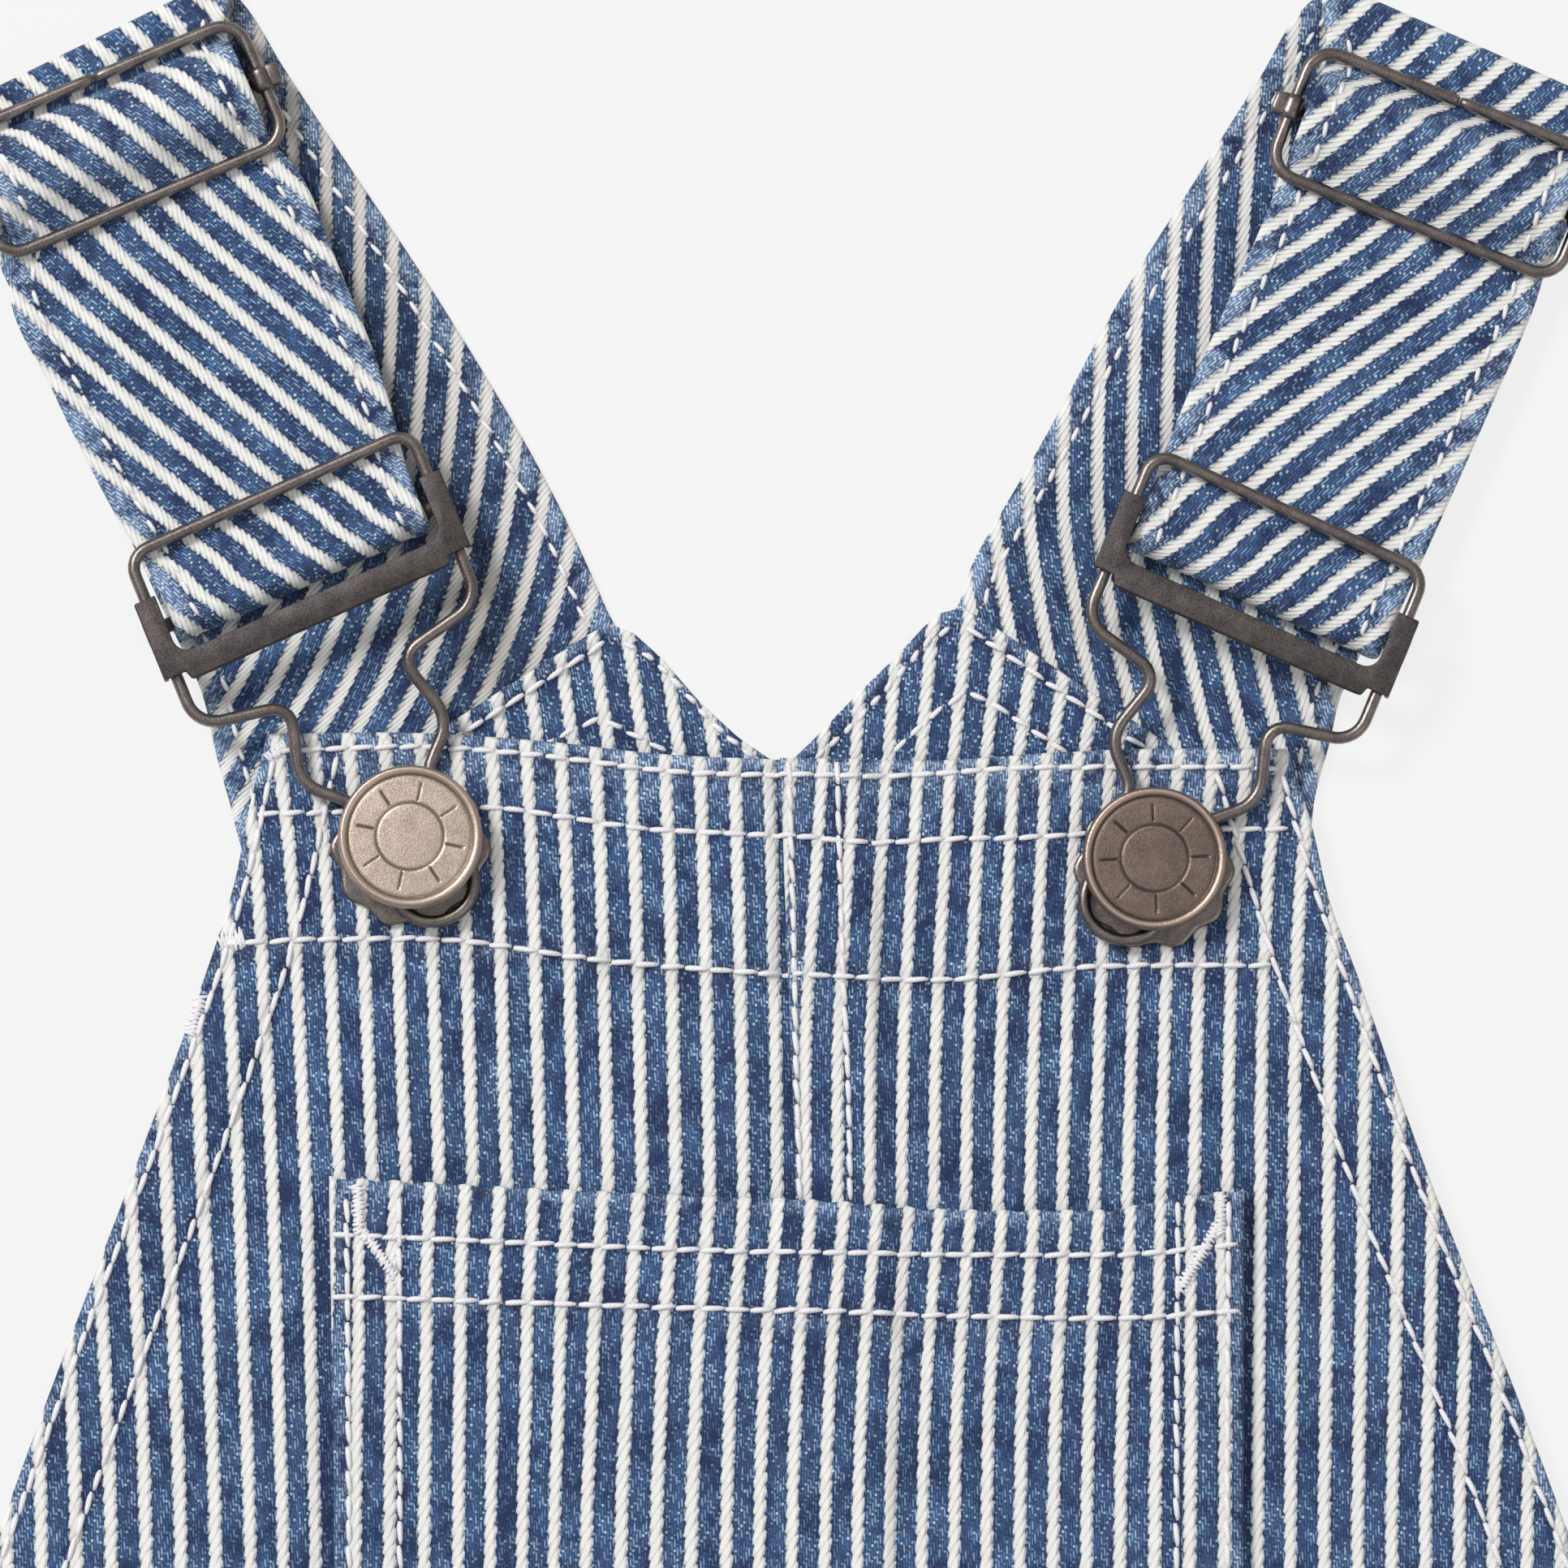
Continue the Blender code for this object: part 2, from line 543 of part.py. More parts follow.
def strap_rungs(side):
    """Rungs of the whole strap: inner end, outer end, direction of its thickness, ply."""
    hand = side["hand"]
    rungs = []

    def rung(inner, outer, level, tilt=0.0, ply=STRAP_PLY):
        rungs.append({"inner": inner, "outer": outer, "level": level, "tilt": tilt, "ply": ply})

    floor_level = STRAP_PLY / 2
    for row in side["back_stretch"]:
        rung((row["inner_x"], row["inner_y"]), (row["outer_x"], row["outer_y"]), floor_level)

    # Shoulder fold: half a turn about the fold line
    fold_level = floor_level + FOLD_RADIUS
    inner, outer = side["fold_inner"], side["fold_outer"]
    length = math.dist(inner, outer)
    line = ((outer[0] - inner[0]) / length, (outer[1] - inner[1]) / length)
    normal = (-line[1] * hand, line[0] * hand)
    for step in range(0, 7):
        turn = math.radians(-90 + 30 * step)
        reach = FOLD_RADIUS * math.cos(turn) - FOLD_RADIUS - STRAP_PLY / 2
        shift = (normal[0] * reach, normal[1] * reach)
        ends = [(p[0] + shift[0], p[1] + shift[1]) for p in (inner, outer)]
        rung(ends[0], ends[1], fold_level + FOLD_RADIUS * math.sin(turn), 90 + 30 * step - 90)

    # Front stretch: under the slider's top wire, over its bar, under its bottom wire
    slider, lean = side["slider"], side["slider_lean"]
    under_wire = SLIDER_LEVEL - SLIDER_WIRE - BAR_PLAY - STRAP_PLY / 2
    bar_level = SLIDER_LEVEL - SLIDER_BAR_DROP
    over_loop = bar_level + SLIDER_BAR_RADIUS + BAR_PLAY + HIDDEN_PLY + PLY_GAP + STRAP_PLY / 2
    for row in SLIDER_WAVE:
        level = under_wire + row["rise"] * (over_loop - under_wire)
        ends = [leaned(hand, lean, slider, hand * a, row["up"]) for a in (-row["half"], row["half"])]
        rung(ends[0], ends[1], level, 180)

    # Down to the buckle, round its bar and back
    buckle, lean = side["buckle"], side["buckle_lean"]
    lay_level = FRONT_FLOOR + HIDDEN_PLY + PLY_GAP + STRAP_PLY / 2
    turn_radius = BAR_RADIUS + BAR_PLAY + STRAP_PLY / 2
    pull = pulled(hand, BAR_UP)
    bar_mid = leaned(hand, lean, buckle, pull, BAR_UP)
    slider_low = leaned(hand, side["slider_lean"], slider, 0.0, STRETCH_TOP)
    for row in side["front_stretch"]:
        share = row["share"]
        mid = [slider_low[k] + share * (bar_mid[k] - slider_low[k]) for k in (0, 1)]
        turned = side["slider_lean"] + share * (lean - side["slider_lean"])
        ends = [leaned(hand, turned, mid, hand * a, 0.0) for a in (-row["inner"], row["outer"])]
        rung(ends[0], ends[1], lay_level + row["lift"], 180)
    for step in range(0, 9):
        turn = math.radians(90 + 22.5 * step)
        up = BAR_UP + turn_radius * math.cos(turn)
        level = BAR_LEVEL + turn_radius * math.sin(turn)
        ends = [leaned(hand, lean, buckle, pull + hand * a, up) for a in (-TURN_HALF, TURN_HALF)]
        rung(ends[0], ends[1], level, 180 + 22.5 * step)

    # Back up behind the front stretch, and a loop about the slider's bar
    under_level = FRONT_FLOOR + HIDDEN_PLY / 2
    for row in RETURN_STRETCH:
        share, thick = row["share"], row["ply"]
        mid = [bar_mid[k] + share * (slider_low[k] - bar_mid[k]) for k in (0, 1)]
        turned = lean + share * (side["slider_lean"] - lean)
        ends = [leaned(hand, turned, mid, hand * a, 0.0) for a in (-TURN_HALF, TURN_HALF)]
        rung(ends[0], ends[1], FRONT_FLOOR + thick / 2, 360, thick)
    loop_radius = SLIDER_BAR_RADIUS + BAR_PLAY + HIDDEN_PLY / 2
    lean = side["slider_lean"]
    levels = (under_level, under_level + RETURN_LIFT, bar_level - loop_radius)
    for up, level in zip(RETURN_UPS, levels):
        ends = [leaned(hand, lean, slider, hand * a, up) for a in (-TURN_HALF, TURN_HALF)]
        rung(ends[0], ends[1], level, 360, HIDDEN_PLY)
    for step in range(0, 9):
        turn = math.radians(-90 + 22.5 * step)
        up = loop_radius * math.cos(turn)
        level = bar_level + loop_radius * math.sin(turn)
        ends = [leaned(hand, lean, slider, hand * a, up) for a in (-TURN_HALF, TURN_HALF)]
        rung(ends[0], ends[1], level, 360 + 22.5 * step, HIDDEN_PLY)
    return rungs


def make_strap(side, parent, material):
    """A closed ribbon. Each rung becomes an eight-sided section with drawn-in edges."""
    hand = side["hand"]
    rungs = strap_rungs(side)
    shape = bmesh.new()
    sections = []
    for rung in rungs:
        inner, outer = rung["inner"], rung["outer"]
        length = math.dist(inner, outer)
        line = ((outer[0] - inner[0]) / length, (outer[1] - inner[1]) / length)
        ahead = (-line[1] * hand, line[0] * hand)
        angle = math.radians(rung["tilt"])
        half = rung["ply"] / 2
        # The thickness turns with the ribbon: up at first, then forward, then down
        face = (ahead[0] * -math.sin(angle), ahead[1] * -math.sin(angle), math.cos(angle))
        points = []
        for share, lift in ((0, 0), (LIP, 1), (0.5 * length, 1), (length - LIP, 1)):
            points.append((share, lift))
        points += [(length, 0), (length - LIP, -1), (0.5 * length, -1), (LIP, -1)]
        ring = []
        for share, lift in points:
            x = inner[0] + line[0] * share + face[0] * half * lift
            y = inner[1] + line[1] * share + face[1] * half * lift
            z = rung["level"] + face[2] * half * lift
            ring.append(shape.verts.new(in_metres(x, y, z)))
        sections.append(ring)
    join_rings(shape, sections)
    return add_object(f"strap_{side['name']}", shape, parent, material)


def join_rings(shape, sections, closed=False):
    """Bridges rings of equal length, and caps the ends unless they meet."""
    pairs = list(zip(sections, sections[1:]))
    if closed:
        pairs.append((sections[-1], sections[0]))
    for ring, following in pairs:
        count = len(ring)
        for j in range(count):
            k = (j + 1) % count
            shape.faces.new((ring[j], ring[k], following[k], following[j]))
    if not closed:
        shape.faces.new(sections[0])
        shape.faces.new(list(reversed(sections[-1])))
    bmesh.ops.recalc_face_normals(shape, faces=shape.faces)


def rounded_loop(corners, steps):
    """A closed outline through corners with a radius each, as points with arcs."""
    points = []
    count = len(corners)
    for i, (x, y, radius) in enumerate(corners):
        before = corners[i - 1]
        after = corners[(i + 1) % count]
        to_before = Vector((before[0] - x, before[1] - y)).normalized()
        to_after = Vector((after[0] - x, after[1] - y)).normalized()
        angle = to_before.angle(to_after)
        reach = radius / math.tan(angle / 2)
        middle = Vector((x, y)) + (to_before + to_after).normalized() * (radius / math.sin(angle / 2))
        start = Vector((x, y)) + to_before * reach - middle
        end = Vector((x, y)) + to_after * reach - middle
        first = math.atan2(start.y, start.x)
        sweep = math.atan2(end.y, end.x) - first
        sweep = (sweep + math.pi) % (2 * math.pi) - math.pi
        for step in range(steps + 1):
            turn = first + sweep * step / steps
            points.append((middle.x + radius * math.cos(turn), middle.y + radius * math.sin(turn)))
    return points


def sweep_wire(path, radius):
    """A closed round wire along a closed path of (x, y, z) points."""
    shape = bmesh.new()
    sections = []
    count = len(path)
    for i, point in enumerate(path):
        before, after = Vector(path[i - 1]), Vector(path[(i + 1) % count])
        ahead = (after - before).normalized()
        across = ahead.cross(Vector((0, 0, 1))).normalized()
        up = across.cross(ahead)
        ring = []
        for k in range(TUBE_SIDES):
            turn = 2 * math.pi * (k + 0.5) / TUBE_SIDES
            place = Vector(point) + (across * math.cos(turn) + up * math.sin(turn)) * radius
            ring.append(shape.verts.new(in_metres(*place)))
        sections.append(ring)
    join_rings(shape, sections, closed=True)
    return shape


def place_on(piece, side, lean, origin):
    """Turns and moves a piece that was made about its own middle."""
    piece.rotation_euler = (0.0, 0.0, -math.radians(lean) * side["hand"])
    piece.location = in_metres(origin[0], origin[1], 0.0)


def wire_level(up):
    return BUTTON_LEVEL + (BUCKLE_LEVEL - BUTTON_LEVEL) * ease(*WIRE_SLOPE, up)


def make_buckle_wire(side, parent, material):
    half = side["wire_half"]
    right = [(row["across"], row["up"], row["radius"]) for row in WIRE_CORNERS]
    right += [(half, row["up"], row["radius"]) for row in (WIRE_SHOULDER, WIRE_TOP)]
    left = [(-x, y, radius) for x, y, radius in reversed(right)]
    outline = rounded_loop(right + left, 4)
    outline = [(x + pulled(side["hand"], y), y) for x, y in outline]
    path = []
    for i, (x, y) in enumerate(outline):
        path.append((x, y, wire_level(y)))
        following = outline[(i + 1) % len(outline)]
        # A point midway along the runs that climb
        if abs(following[1] - y) > 2.5 and min(y, following[1]) < WIRE_SLOPE[1]:
            middle = ((x + following[0]) / 2, (y + following[1]) / 2)
            path.append((middle[0], middle[1], wire_level(middle[1])))
    piece = add_object(f"buckle_wire_{side['name']}", sweep_wire(path, BUCKLE_WIRE), parent, material)
    place_on(piece, side, side["buckle_lean"], side["buckle"])
    return piece


def extrude_outline(outline, low, high):
    shape = bmesh.new()
    lower = [shape.verts.new(in_metres(x, y, low)) for x, y in outline]
    upper = [shape.verts.new(in_metres(x, y, high)) for x, y in outline]
    join_rings(shape, [lower, upper])
    return shape


def add_box(name, x_range, y_range, z_range):
    outline = [(x_range[0], y_range[0]), (x_range[1], y_range[0])]
    outline += [(x_range[1], y_range[1]), (x_range[0], y_range[1])]
    return loose_object(name, extrude_outline(outline, *z_range))


def loose_object(name, shape):
    mesh = bpy.data.meshes.new(name)
    shape.to_mesh(mesh)
    shape.free()
    piece = bpy.data.objects.new(name, mesh)
    bpy.context.scene.collection.objects.link(piece)
    return piece


def cross_bar(name, half_length, up, level, radius, shift=0.0):
    """A round bar across the strap."""
    shape = bmesh.new()
    sections = []
    for x in (shift - half_length, shift + half_length):
        ring = []
        for k in range(BAR_SIDES):
            turn = 2 * math.pi * k / BAR_SIDES
            place = (x, up + radius * math.cos(turn), level + radius * math.sin(turn))
            ring.append(shape.verts.new(in_metres(*place)))
        sections.append(ring)
    join_rings(shape, sections)
    return loose_object(name, shape)


def unite(piece, others):
    """Joins solids into one piece with exact unions, then removes the others."""
    for other in others:
        union = piece.modifiers.new("union", "BOOLEAN")
        union.operation = "UNION"
        union.solver = "EXACT"
        union.object = other
    graph = bpy.context.evaluated_depsgraph_get()
    joined = bpy.data.meshes.new_from_object(piece.evaluated_get(graph))
    piece.modifiers.clear()
    old = piece.data
    piece.data = joined
    joined.name = old.name
    for other in others:
        bpy.data.objects.remove(other, do_unlink=True)


def plate_outline(half):
    """A U: two arms beside the strap and a bar below its turn."""
    wide, arm, notch = half + PLATE["beyond"], half - PLATE["arm"], half - PLATE["notch"]
    low, bar, top, ends = PLATE["bottom"], PLATE["bar_top"], PLATE["top"], PLATE["ends"]
    outline = [(-wide, ends), (-arm, ends), (-notch, low), (notch, low), (arm, ends), (wide, ends)]
    outline += [(wide, top), (arm, top)]
    for step in range(5):
        turn = math.radians(-90 * step / 4)
        x = arm - PLATE_CORNER + PLATE_CORNER * math.cos(turn)
        y = bar + PLATE_CORNER + PLATE_CORNER * math.sin(turn)
        outline.append((x, y))
    for step in range(5):
        turn = math.radians(-90 - 90 * step / 4)
        x = -arm + PLATE_CORNER + PLATE_CORNER * math.cos(turn)
        y = bar + PLATE_CORNER + PLATE_CORNER * math.sin(turn)
        outline.append((x, y))
    outline += [(-arm, top), (-wide, top)]
    return outline


def side_wall(name, hand, across, y_range, z_range):
    """An upright wall along the plate's side, drawn over as the buckle is."""
    outline = [(across[0], y_range[0]), (across[1], y_range[0])]
    outline += [(across[1], y_range[1]), (across[0], y_range[1])]
    outline = [(x + pulled(hand, y), y) for x, y in outline]
    return loose_object(name, extrude_outline(outline, *z_range))


def make_buckle_plate(side, parent, material):
    name, hand = f"buckle_plate_{side['name']}", side["hand"]
    outline = [(x + pulled(hand, y), y) for x, y in plate_outline(side["wire_half"])]
    shape = extrude_outline(outline, PLATE_LEVEL, PLATE_LEVEL + PLATE_THICK)
    piece = add_object(name, shape, parent, material)
    wide = side["wire_half"] + PLATE["beyond"]
    bar = cross_bar("bar", wide - WALL_THICK / 2, BAR_UP, BAR_LEVEL, BAR_RADIUS, pulled(hand, BAR_UP))
    others = [bar]
    wall_low = BUCKLE_LEVEL - BUCKLE_WIRE
    ear = (BAR_UP - EAR_HALF, BAR_UP + EAR_HALF)
    for end in (-1, 1):
        across = sorted((end * (wide - WALL_THICK), end * (wide + WALL_PROUD)))
        rolled = (PLATE["ends"] + WALL_PROUD, PLATE["top"] - WALL_PROUD)
        others.append(side_wall("wall", hand, across, rolled, (wall_low, PLATE_LEVEL + PLATE_OVERLAP)))
        across = sorted((end * (wide - WALL_THICK + WALL_PROUD), end * wide))
        others.append(side_wall("ear", hand, across, ear, (BAR_LEVEL - EAR_HALF, wall_low + PLATE_OVERLAP)))
    unite(piece, others)
    place_on(piece, side, side["buckle_lean"], side["buckle"])
    return piece


def make_slider_frame(side, parent, material):
    wide, high, corner = SLIDER_HALF_WIDTH, SLIDER_HALF_HEIGHT, SLIDER_CORNER
    corners = [(wide, -high, corner), (wide, high, corner), (-wide, high, corner), (-wide, -high, corner)]
    path = [(x, y, SLIDER_LEVEL) for x, y in rounded_loop(corners, 5)]
    piece = add_object(f"slider_frame_{side['name']}", sweep_wire(path, SLIDER_WIRE), parent, material)
    place_on(piece, side, side["slider_lean"], side["slider"])
    return piece


def clasp(name, across):
    """A short sleeve that wraps a side of the slider's frame."""
    shape = bmesh.new()
    sections = []
    for y, radius in (
        (-CLASP_LENGTH / 2, CLASP_OUTER),
        (CLASP_LENGTH / 2, CLASP_OUTER),
        (CLASP_LENGTH / 2, CLASP_INNER),
        (-CLASP_LENGTH / 2, CLASP_INNER),
    ):
        ring = []
        for k in range(CLASP_SIDES):
            turn = 2 * math.pi * (k + 0.5) / CLASP_SIDES
            place = (across + radius * math.cos(turn), y, SLIDER_LEVEL + radius * math.sin(turn))
            ring.append(shape.verts.new(in_metres(*place)))
        sections.append(ring)
    join_rings(shape, sections, closed=True)
    return loose_object(name, shape)


def knob(name, end):
    """The clasp's folded end, outside the frame."""
    across = sorted(end * (SLIDER_HALF_WIDTH + KNOB[key]) for key in ("start", "end"))
    up = (-KNOB["half_length"], KNOB["half_length"])
    return add_box(name, across, up, (SLIDER_LEVEL - KNOB["half_height"], SLIDER_LEVEL + KNOB["half_height"]))


def make_slider_bar(side, parent, material):
    level = SLIDER_LEVEL - SLIDER_BAR_DROP
    half_length = SLIDER_HALF_WIDTH - SLIDER_BAR_SHORT
    bar = cross_bar(f"slider_bar_{side['name']}", half_length, 0.0, level, SLIDER_BAR_RADIUS)
    bar.data.materials.append(material)
    bar.parent = parent
    clasps = [clasp("clasp", -SLIDER_HALF_WIDTH), clasp("clasp", SLIDER_HALF_WIDTH)]
    unite(bar, clasps + [knob("knob", -1), knob("knob", 1)])
    place_on(bar, side, side["slider_lean"], side["slider"])
    return bar


def turned_solid(profile):
    """Rings about Z, from rows of radius, height and shift in Y; both ends close on the axis."""
    shape = bmesh.new()
    rings = []
    for radius, height, shift in profile[1:-1]:
        ring = []
        for k in range(ROUND_SIDES):
            turn = 2 * math.pi * k / ROUND_SIDES
            reach = radius(turn) if callable(radius) else radius
            place = (reach * math.cos(turn), reach * math.sin(turn) + shift, height)
            ring.append(shape.verts.new(in_metres(*place)))
        rings.append(ring)
    for ring, following in zip(rings, rings[1:]):
        for j in range(ROUND_SIDES):
            k = (j + 1) % ROUND_SIDES
            shape.faces.new((ring[j], ring[k], following[k], following[j]))
    for ring, (_, height, shift) in ((rings[0], profile[0]), (rings[-1], profile[-1])):
        middle = shape.verts.new(in_metres(0.0, shift, height))
        for j in range(ROUND_SIDES):
            shape.faces.new((ring[j], ring[(j + 1) % ROUND_SIDES], middle))
    bmesh.ops.recalc_face_normals(shape, faces=shape.faces)
    return shape


def make_button_cap(side, parent, material):
    rim = BUTTON_RADIUS
    profile = [
        (0.0, CAP_BOTTOM, 0.0),
        (rim - 0.9, CAP_BOTTOM, 0.0),
        (rim - 0.2, CAP_BOTTOM + 0.4, 0.0),
        (rim, CAP_BOTTOM + 1.0, 0.0),
        (rim - 0.15, CAP_RIM - 0.35, 0.0),
        (rim - 0.55, CAP_RIM, 0.0),
        (rim - 0.95, CAP_RIM - 0.1, 0.0),
        (rim - 1.2, CAP_FACE, 0.0),
        (0.0, CAP_FACE, 0.0),
    ]
    piece = add_object(f"button_cap_{side['name']}", turned_solid(profile), parent, material)
    place_on(piece, side, 0.0, side["button"])
    return piece


def make_button_collar(side, parent, material):
    """A crimped collar on the cloth, with the shank that the cap sits on."""

    def wavy(turn):
        return COLLAR_RADIUS + COLLAR_WAVE * math.cos(COLLAR_LOBES * turn)

    low = FRONT_FLOOR + PLY + BAND_EXTRA + SEAM_GAP
    high = low + COLLAR_THICK
    profile = [
        (0.0, low, -COLLAR_SLIP),
        (wavy, low, -COLLAR_SLIP),
        (wavy, high, -COLLAR_SLIP),
        (SHANK_RADIUS, high, 0.0),
        (SHANK_RADIUS, CAP_BOTTOM - SEAM_GAP, 0.0),
        (0.0, CAP_BOTTOM - SEAM_GAP, 0.0),
    ]
    piece = add_object(f"button_collar_{side['name']}", turned_solid(profile), parent, material)
    place_on(piece, side, 0.0, side["button"])
    return piece


def smooth_round_pieces(pieces):
    for piece in pieces:
        piece.data.shade_smooth()
        piece.data.set_sharp_from_angle(angle=math.radians(40))


def main():
    clear_scene()
    denim = make_material("denim", DENIM, 0.0, 0.9)
    metal = make_material("antique_metal", METAL, 1.0, 0.4)
    garment = bpy.data.objects.new("garment", None)
    bpy.context.scene.collection.objects.link(garment)

    make_pocket(garment, denim)
    for side in SIDES:
        make_back(side, garment, denim)
        make_front(side, garment, denim)
        make_strap(side, garment, denim)
        hardware = [
            make_slider_frame(side, garment, metal),
            make_slider_bar(side, garment, metal),
            make_buckle_wire(side, garment, metal),
            make_buckle_plate(side, garment, metal),
            make_button_cap(side, garment, metal),
            make_button_collar(side, garment, metal),
        ]
        smooth_round_pieces(hardware)
    garment.location = (0.0, RISE * MM, 0.0)
    bpy.context.view_layer.update()


main()
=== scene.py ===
import json
import math

import bmesh
import bpy
import numpy as np
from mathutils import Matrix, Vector

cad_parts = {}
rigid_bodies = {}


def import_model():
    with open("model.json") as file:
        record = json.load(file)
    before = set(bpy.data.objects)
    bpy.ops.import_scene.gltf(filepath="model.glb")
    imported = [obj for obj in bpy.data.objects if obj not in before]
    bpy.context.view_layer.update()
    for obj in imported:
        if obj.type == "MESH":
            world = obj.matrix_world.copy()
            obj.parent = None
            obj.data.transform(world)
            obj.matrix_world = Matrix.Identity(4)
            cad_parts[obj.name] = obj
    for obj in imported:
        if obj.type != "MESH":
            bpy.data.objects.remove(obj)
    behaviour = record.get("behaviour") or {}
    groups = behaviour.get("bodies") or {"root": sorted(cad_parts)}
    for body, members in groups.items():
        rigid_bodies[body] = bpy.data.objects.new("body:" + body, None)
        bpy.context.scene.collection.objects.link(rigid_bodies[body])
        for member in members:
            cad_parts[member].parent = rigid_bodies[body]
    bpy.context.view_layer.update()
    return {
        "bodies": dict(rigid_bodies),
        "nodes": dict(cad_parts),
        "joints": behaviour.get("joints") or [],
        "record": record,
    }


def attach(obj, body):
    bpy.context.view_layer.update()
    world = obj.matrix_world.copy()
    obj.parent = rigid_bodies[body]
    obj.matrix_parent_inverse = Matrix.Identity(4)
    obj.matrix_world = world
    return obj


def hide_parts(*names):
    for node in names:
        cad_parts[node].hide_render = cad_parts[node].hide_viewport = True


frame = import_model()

mm = 0.001
rise = 301.6  # the tables below count from a line near the bib's top edge, as the cutting sheet does
repeat = 4.0  # of the stripe
hands = {"left": -1, "right": 1}
clothRim = (0.12, 0.35, 0.7, 1.2)  # rows of points close to a cloth's edge


# small helpers

def ease(low, high, at):
    share = np.clip((np.asarray(at, float) - low) / (high - low), 0.0, 1.0)
    return share * share * (3 - 2 * share)


def bell(at, middle, width):
    return np.exp(-((at - middle) / width) ** 2)


def sided(word, side):
    return word + side.capitalize()


def curveThrough(xs, ys, at):
    # a smooth line through a table's points, straight beyond its ends
    xs, ys, at = np.asarray(xs, float), np.asarray(ys, float), np.asarray(at, float)
    steps = np.diff(ys) / np.diff(xs)
    slopes = np.concatenate(([steps[0]], (steps[:-1] + steps[1:]) / 2, [steps[-1]]))
    flat = np.concatenate(([False], steps[:-1] * steps[1:] <= 0, [False]))
    slopes = np.where(flat, 0.0, slopes)
    i = np.clip(np.searchsorted(xs, at) - 1, 0, len(xs) - 2)
    width = xs[i + 1] - xs[i]
    t = (at - xs[i]) / width
    tc = np.clip(t, 0, 1)
    inside = ((2 * tc**3 - 3 * tc**2 + 1) * ys[i] + (tc**3 - 2 * tc**2 + tc) * width * slopes[i]
              + (3 * tc**2 - 2 * tc**3) * ys[i + 1] + (tc**3 - tc**2) * width * slopes[i + 1])
    past = np.where(t > 1, (t - 1) * width * slopes[i + 1], 0.0)
    return inside + np.where(t < 0, t * width * slopes[i], past)


def roundOver(distance, radius):
    # how far up a soft edge has come, 0 on the edge and 1 inside it
    part = np.clip(np.asarray(distance, float) / radius, 0.0, 1.0)
    return np.sqrt(np.maximum(1 - (1 - part) ** 2, 0.0))


def pinched(top, bottom, soft, least=0.12):
    # the two faces drawn together where the edge is soft
    middle = (top + bottom) / 2
    share = least + (1 - least) * soft
    return middle + (top - middle) * share, middle - (middle - bottom) * share


def spread(count, width, rim):
    # places from 0 to 1, crowded at both ends so that a rounded edge has points to bend on
    near = [r / width for r in rim]
    middle = np.linspace(near[-1], 1 - near[-1], count)[1:-1]
    return np.concatenate(([0.0], near, middle, [1 - n for n in reversed(near)], [1.0]))


def hexColour(text):
    parts = [int(text[k:k + 2], 16) / 255 for k in (1, 3, 5)]
    return tuple(p / 12.92 if p <= 0.04045 else ((p + 0.055) / 1.055) ** 2.4 for p in parts) + (1.0,)


def addPiece(name, points, faces, material, nodes=(), cloth=None, worn=None):
    mesh = bpy.data.meshes.new(name)
    places = np.array(points, float)
    places[:, 1] += rise
    mesh.from_pydata((places * mm).tolist(), [], faces)
    mesh.update()
    mesh.shade_smooth()
    for label, values in (("cloth", cloth), ("worn", worn)):
        if values is not None:
            layer = mesh.attributes.new(label, "FLOAT_VECTOR", "POINT")
            layer.data.foreach_set("vector", np.asarray(values, np.float32).ravel())
    mesh.materials.append(material)
    piece = bpy.data.objects.new(name, mesh)
    bpy.context.scene.collection.objects.link(piece)
    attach(piece, "root")
    if nodes:
        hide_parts(*nodes)
    return piece


def gridFaces(rows, columns, first=0, flip=False):
    i, j = np.meshgrid(np.arange(rows - 1), np.arange(columns - 1), indexing="ij")
    a = (first + i * columns + j).ravel()
    quads = np.stack([a, a + 1, a + columns + 1, a + columns], -1)
    return (quads[:, ::-1] if flip else quads).tolist()


def closeShell(upper, lower, flip):
    # upper and lower faces of a piece of cloth, joined round their rim
    rows, columns = upper.shape[:2]
    count = rows * columns
    faces = gridFaces(rows, columns, 0, flip) + gridFaces(rows, columns, count, not flip)
    ring = [(0, j) for j in range(columns - 1)] + [(i, columns - 1) for i in range(rows - 1)]
    ring += [(rows - 1, j) for j in range(columns - 1, 0, -1)] + [(i, 0) for i in range(rows - 1, 0, -1)]
    spots = [i * columns + j for i, j in ring]
    for a, b in zip(spots, spots[1:] + spots[:1]):
        quad = (a, a + count, b + count, b)
        faces.append(quad[::-1] if flip else quad)
    return np.concatenate([upper.reshape(-1, 3), lower.reshape(-1, 3)]), faces


def weaveAt(count, along):
    # where a point lies in the cloth: over the stripes, and along them
    return np.stack([count * repeat * mm, along * mm, 0 * along], -1)


# the cloth's wear, the painted shade in its grooves and troughs, and the painted shadow of a strap's upper stretch
def wearAndShadeAt(wear, paintedShade, paintedShadow=0.0):
    return np.stack([np.clip(wear, 0, 1), np.clip(paintedShade, 0, 1), paintedShadow + 0 * wear], -1)


def addCloth(name, node, material, flip, upper, lower, weaves, worn):
    # a piece of cloth from its two faces, with the weave on each and the wear on both
    points, faces = closeShell(upper, lower, flip)
    weave = np.concatenate([part.reshape(-1, 3) for part in weaves])
    return addPiece(name, points, faces, material, [node], weave, np.concatenate([worn.reshape(-1, 3)] * 2))


def wayAlong(points):
    # how far along a line each of its points is
    return np.concatenate(([0.0], np.cumsum(np.linalg.norm(np.diff(points, axis=0), axis=1))))


def alongLine(points, step):
    # even places along a line
    points = np.asarray(points, float)
    way = wayAlong(points)
    at = np.arange(0.0, way[-1], step)
    return np.stack([np.interp(at, way, points[:, k]) for k in (0, 1)], -1)


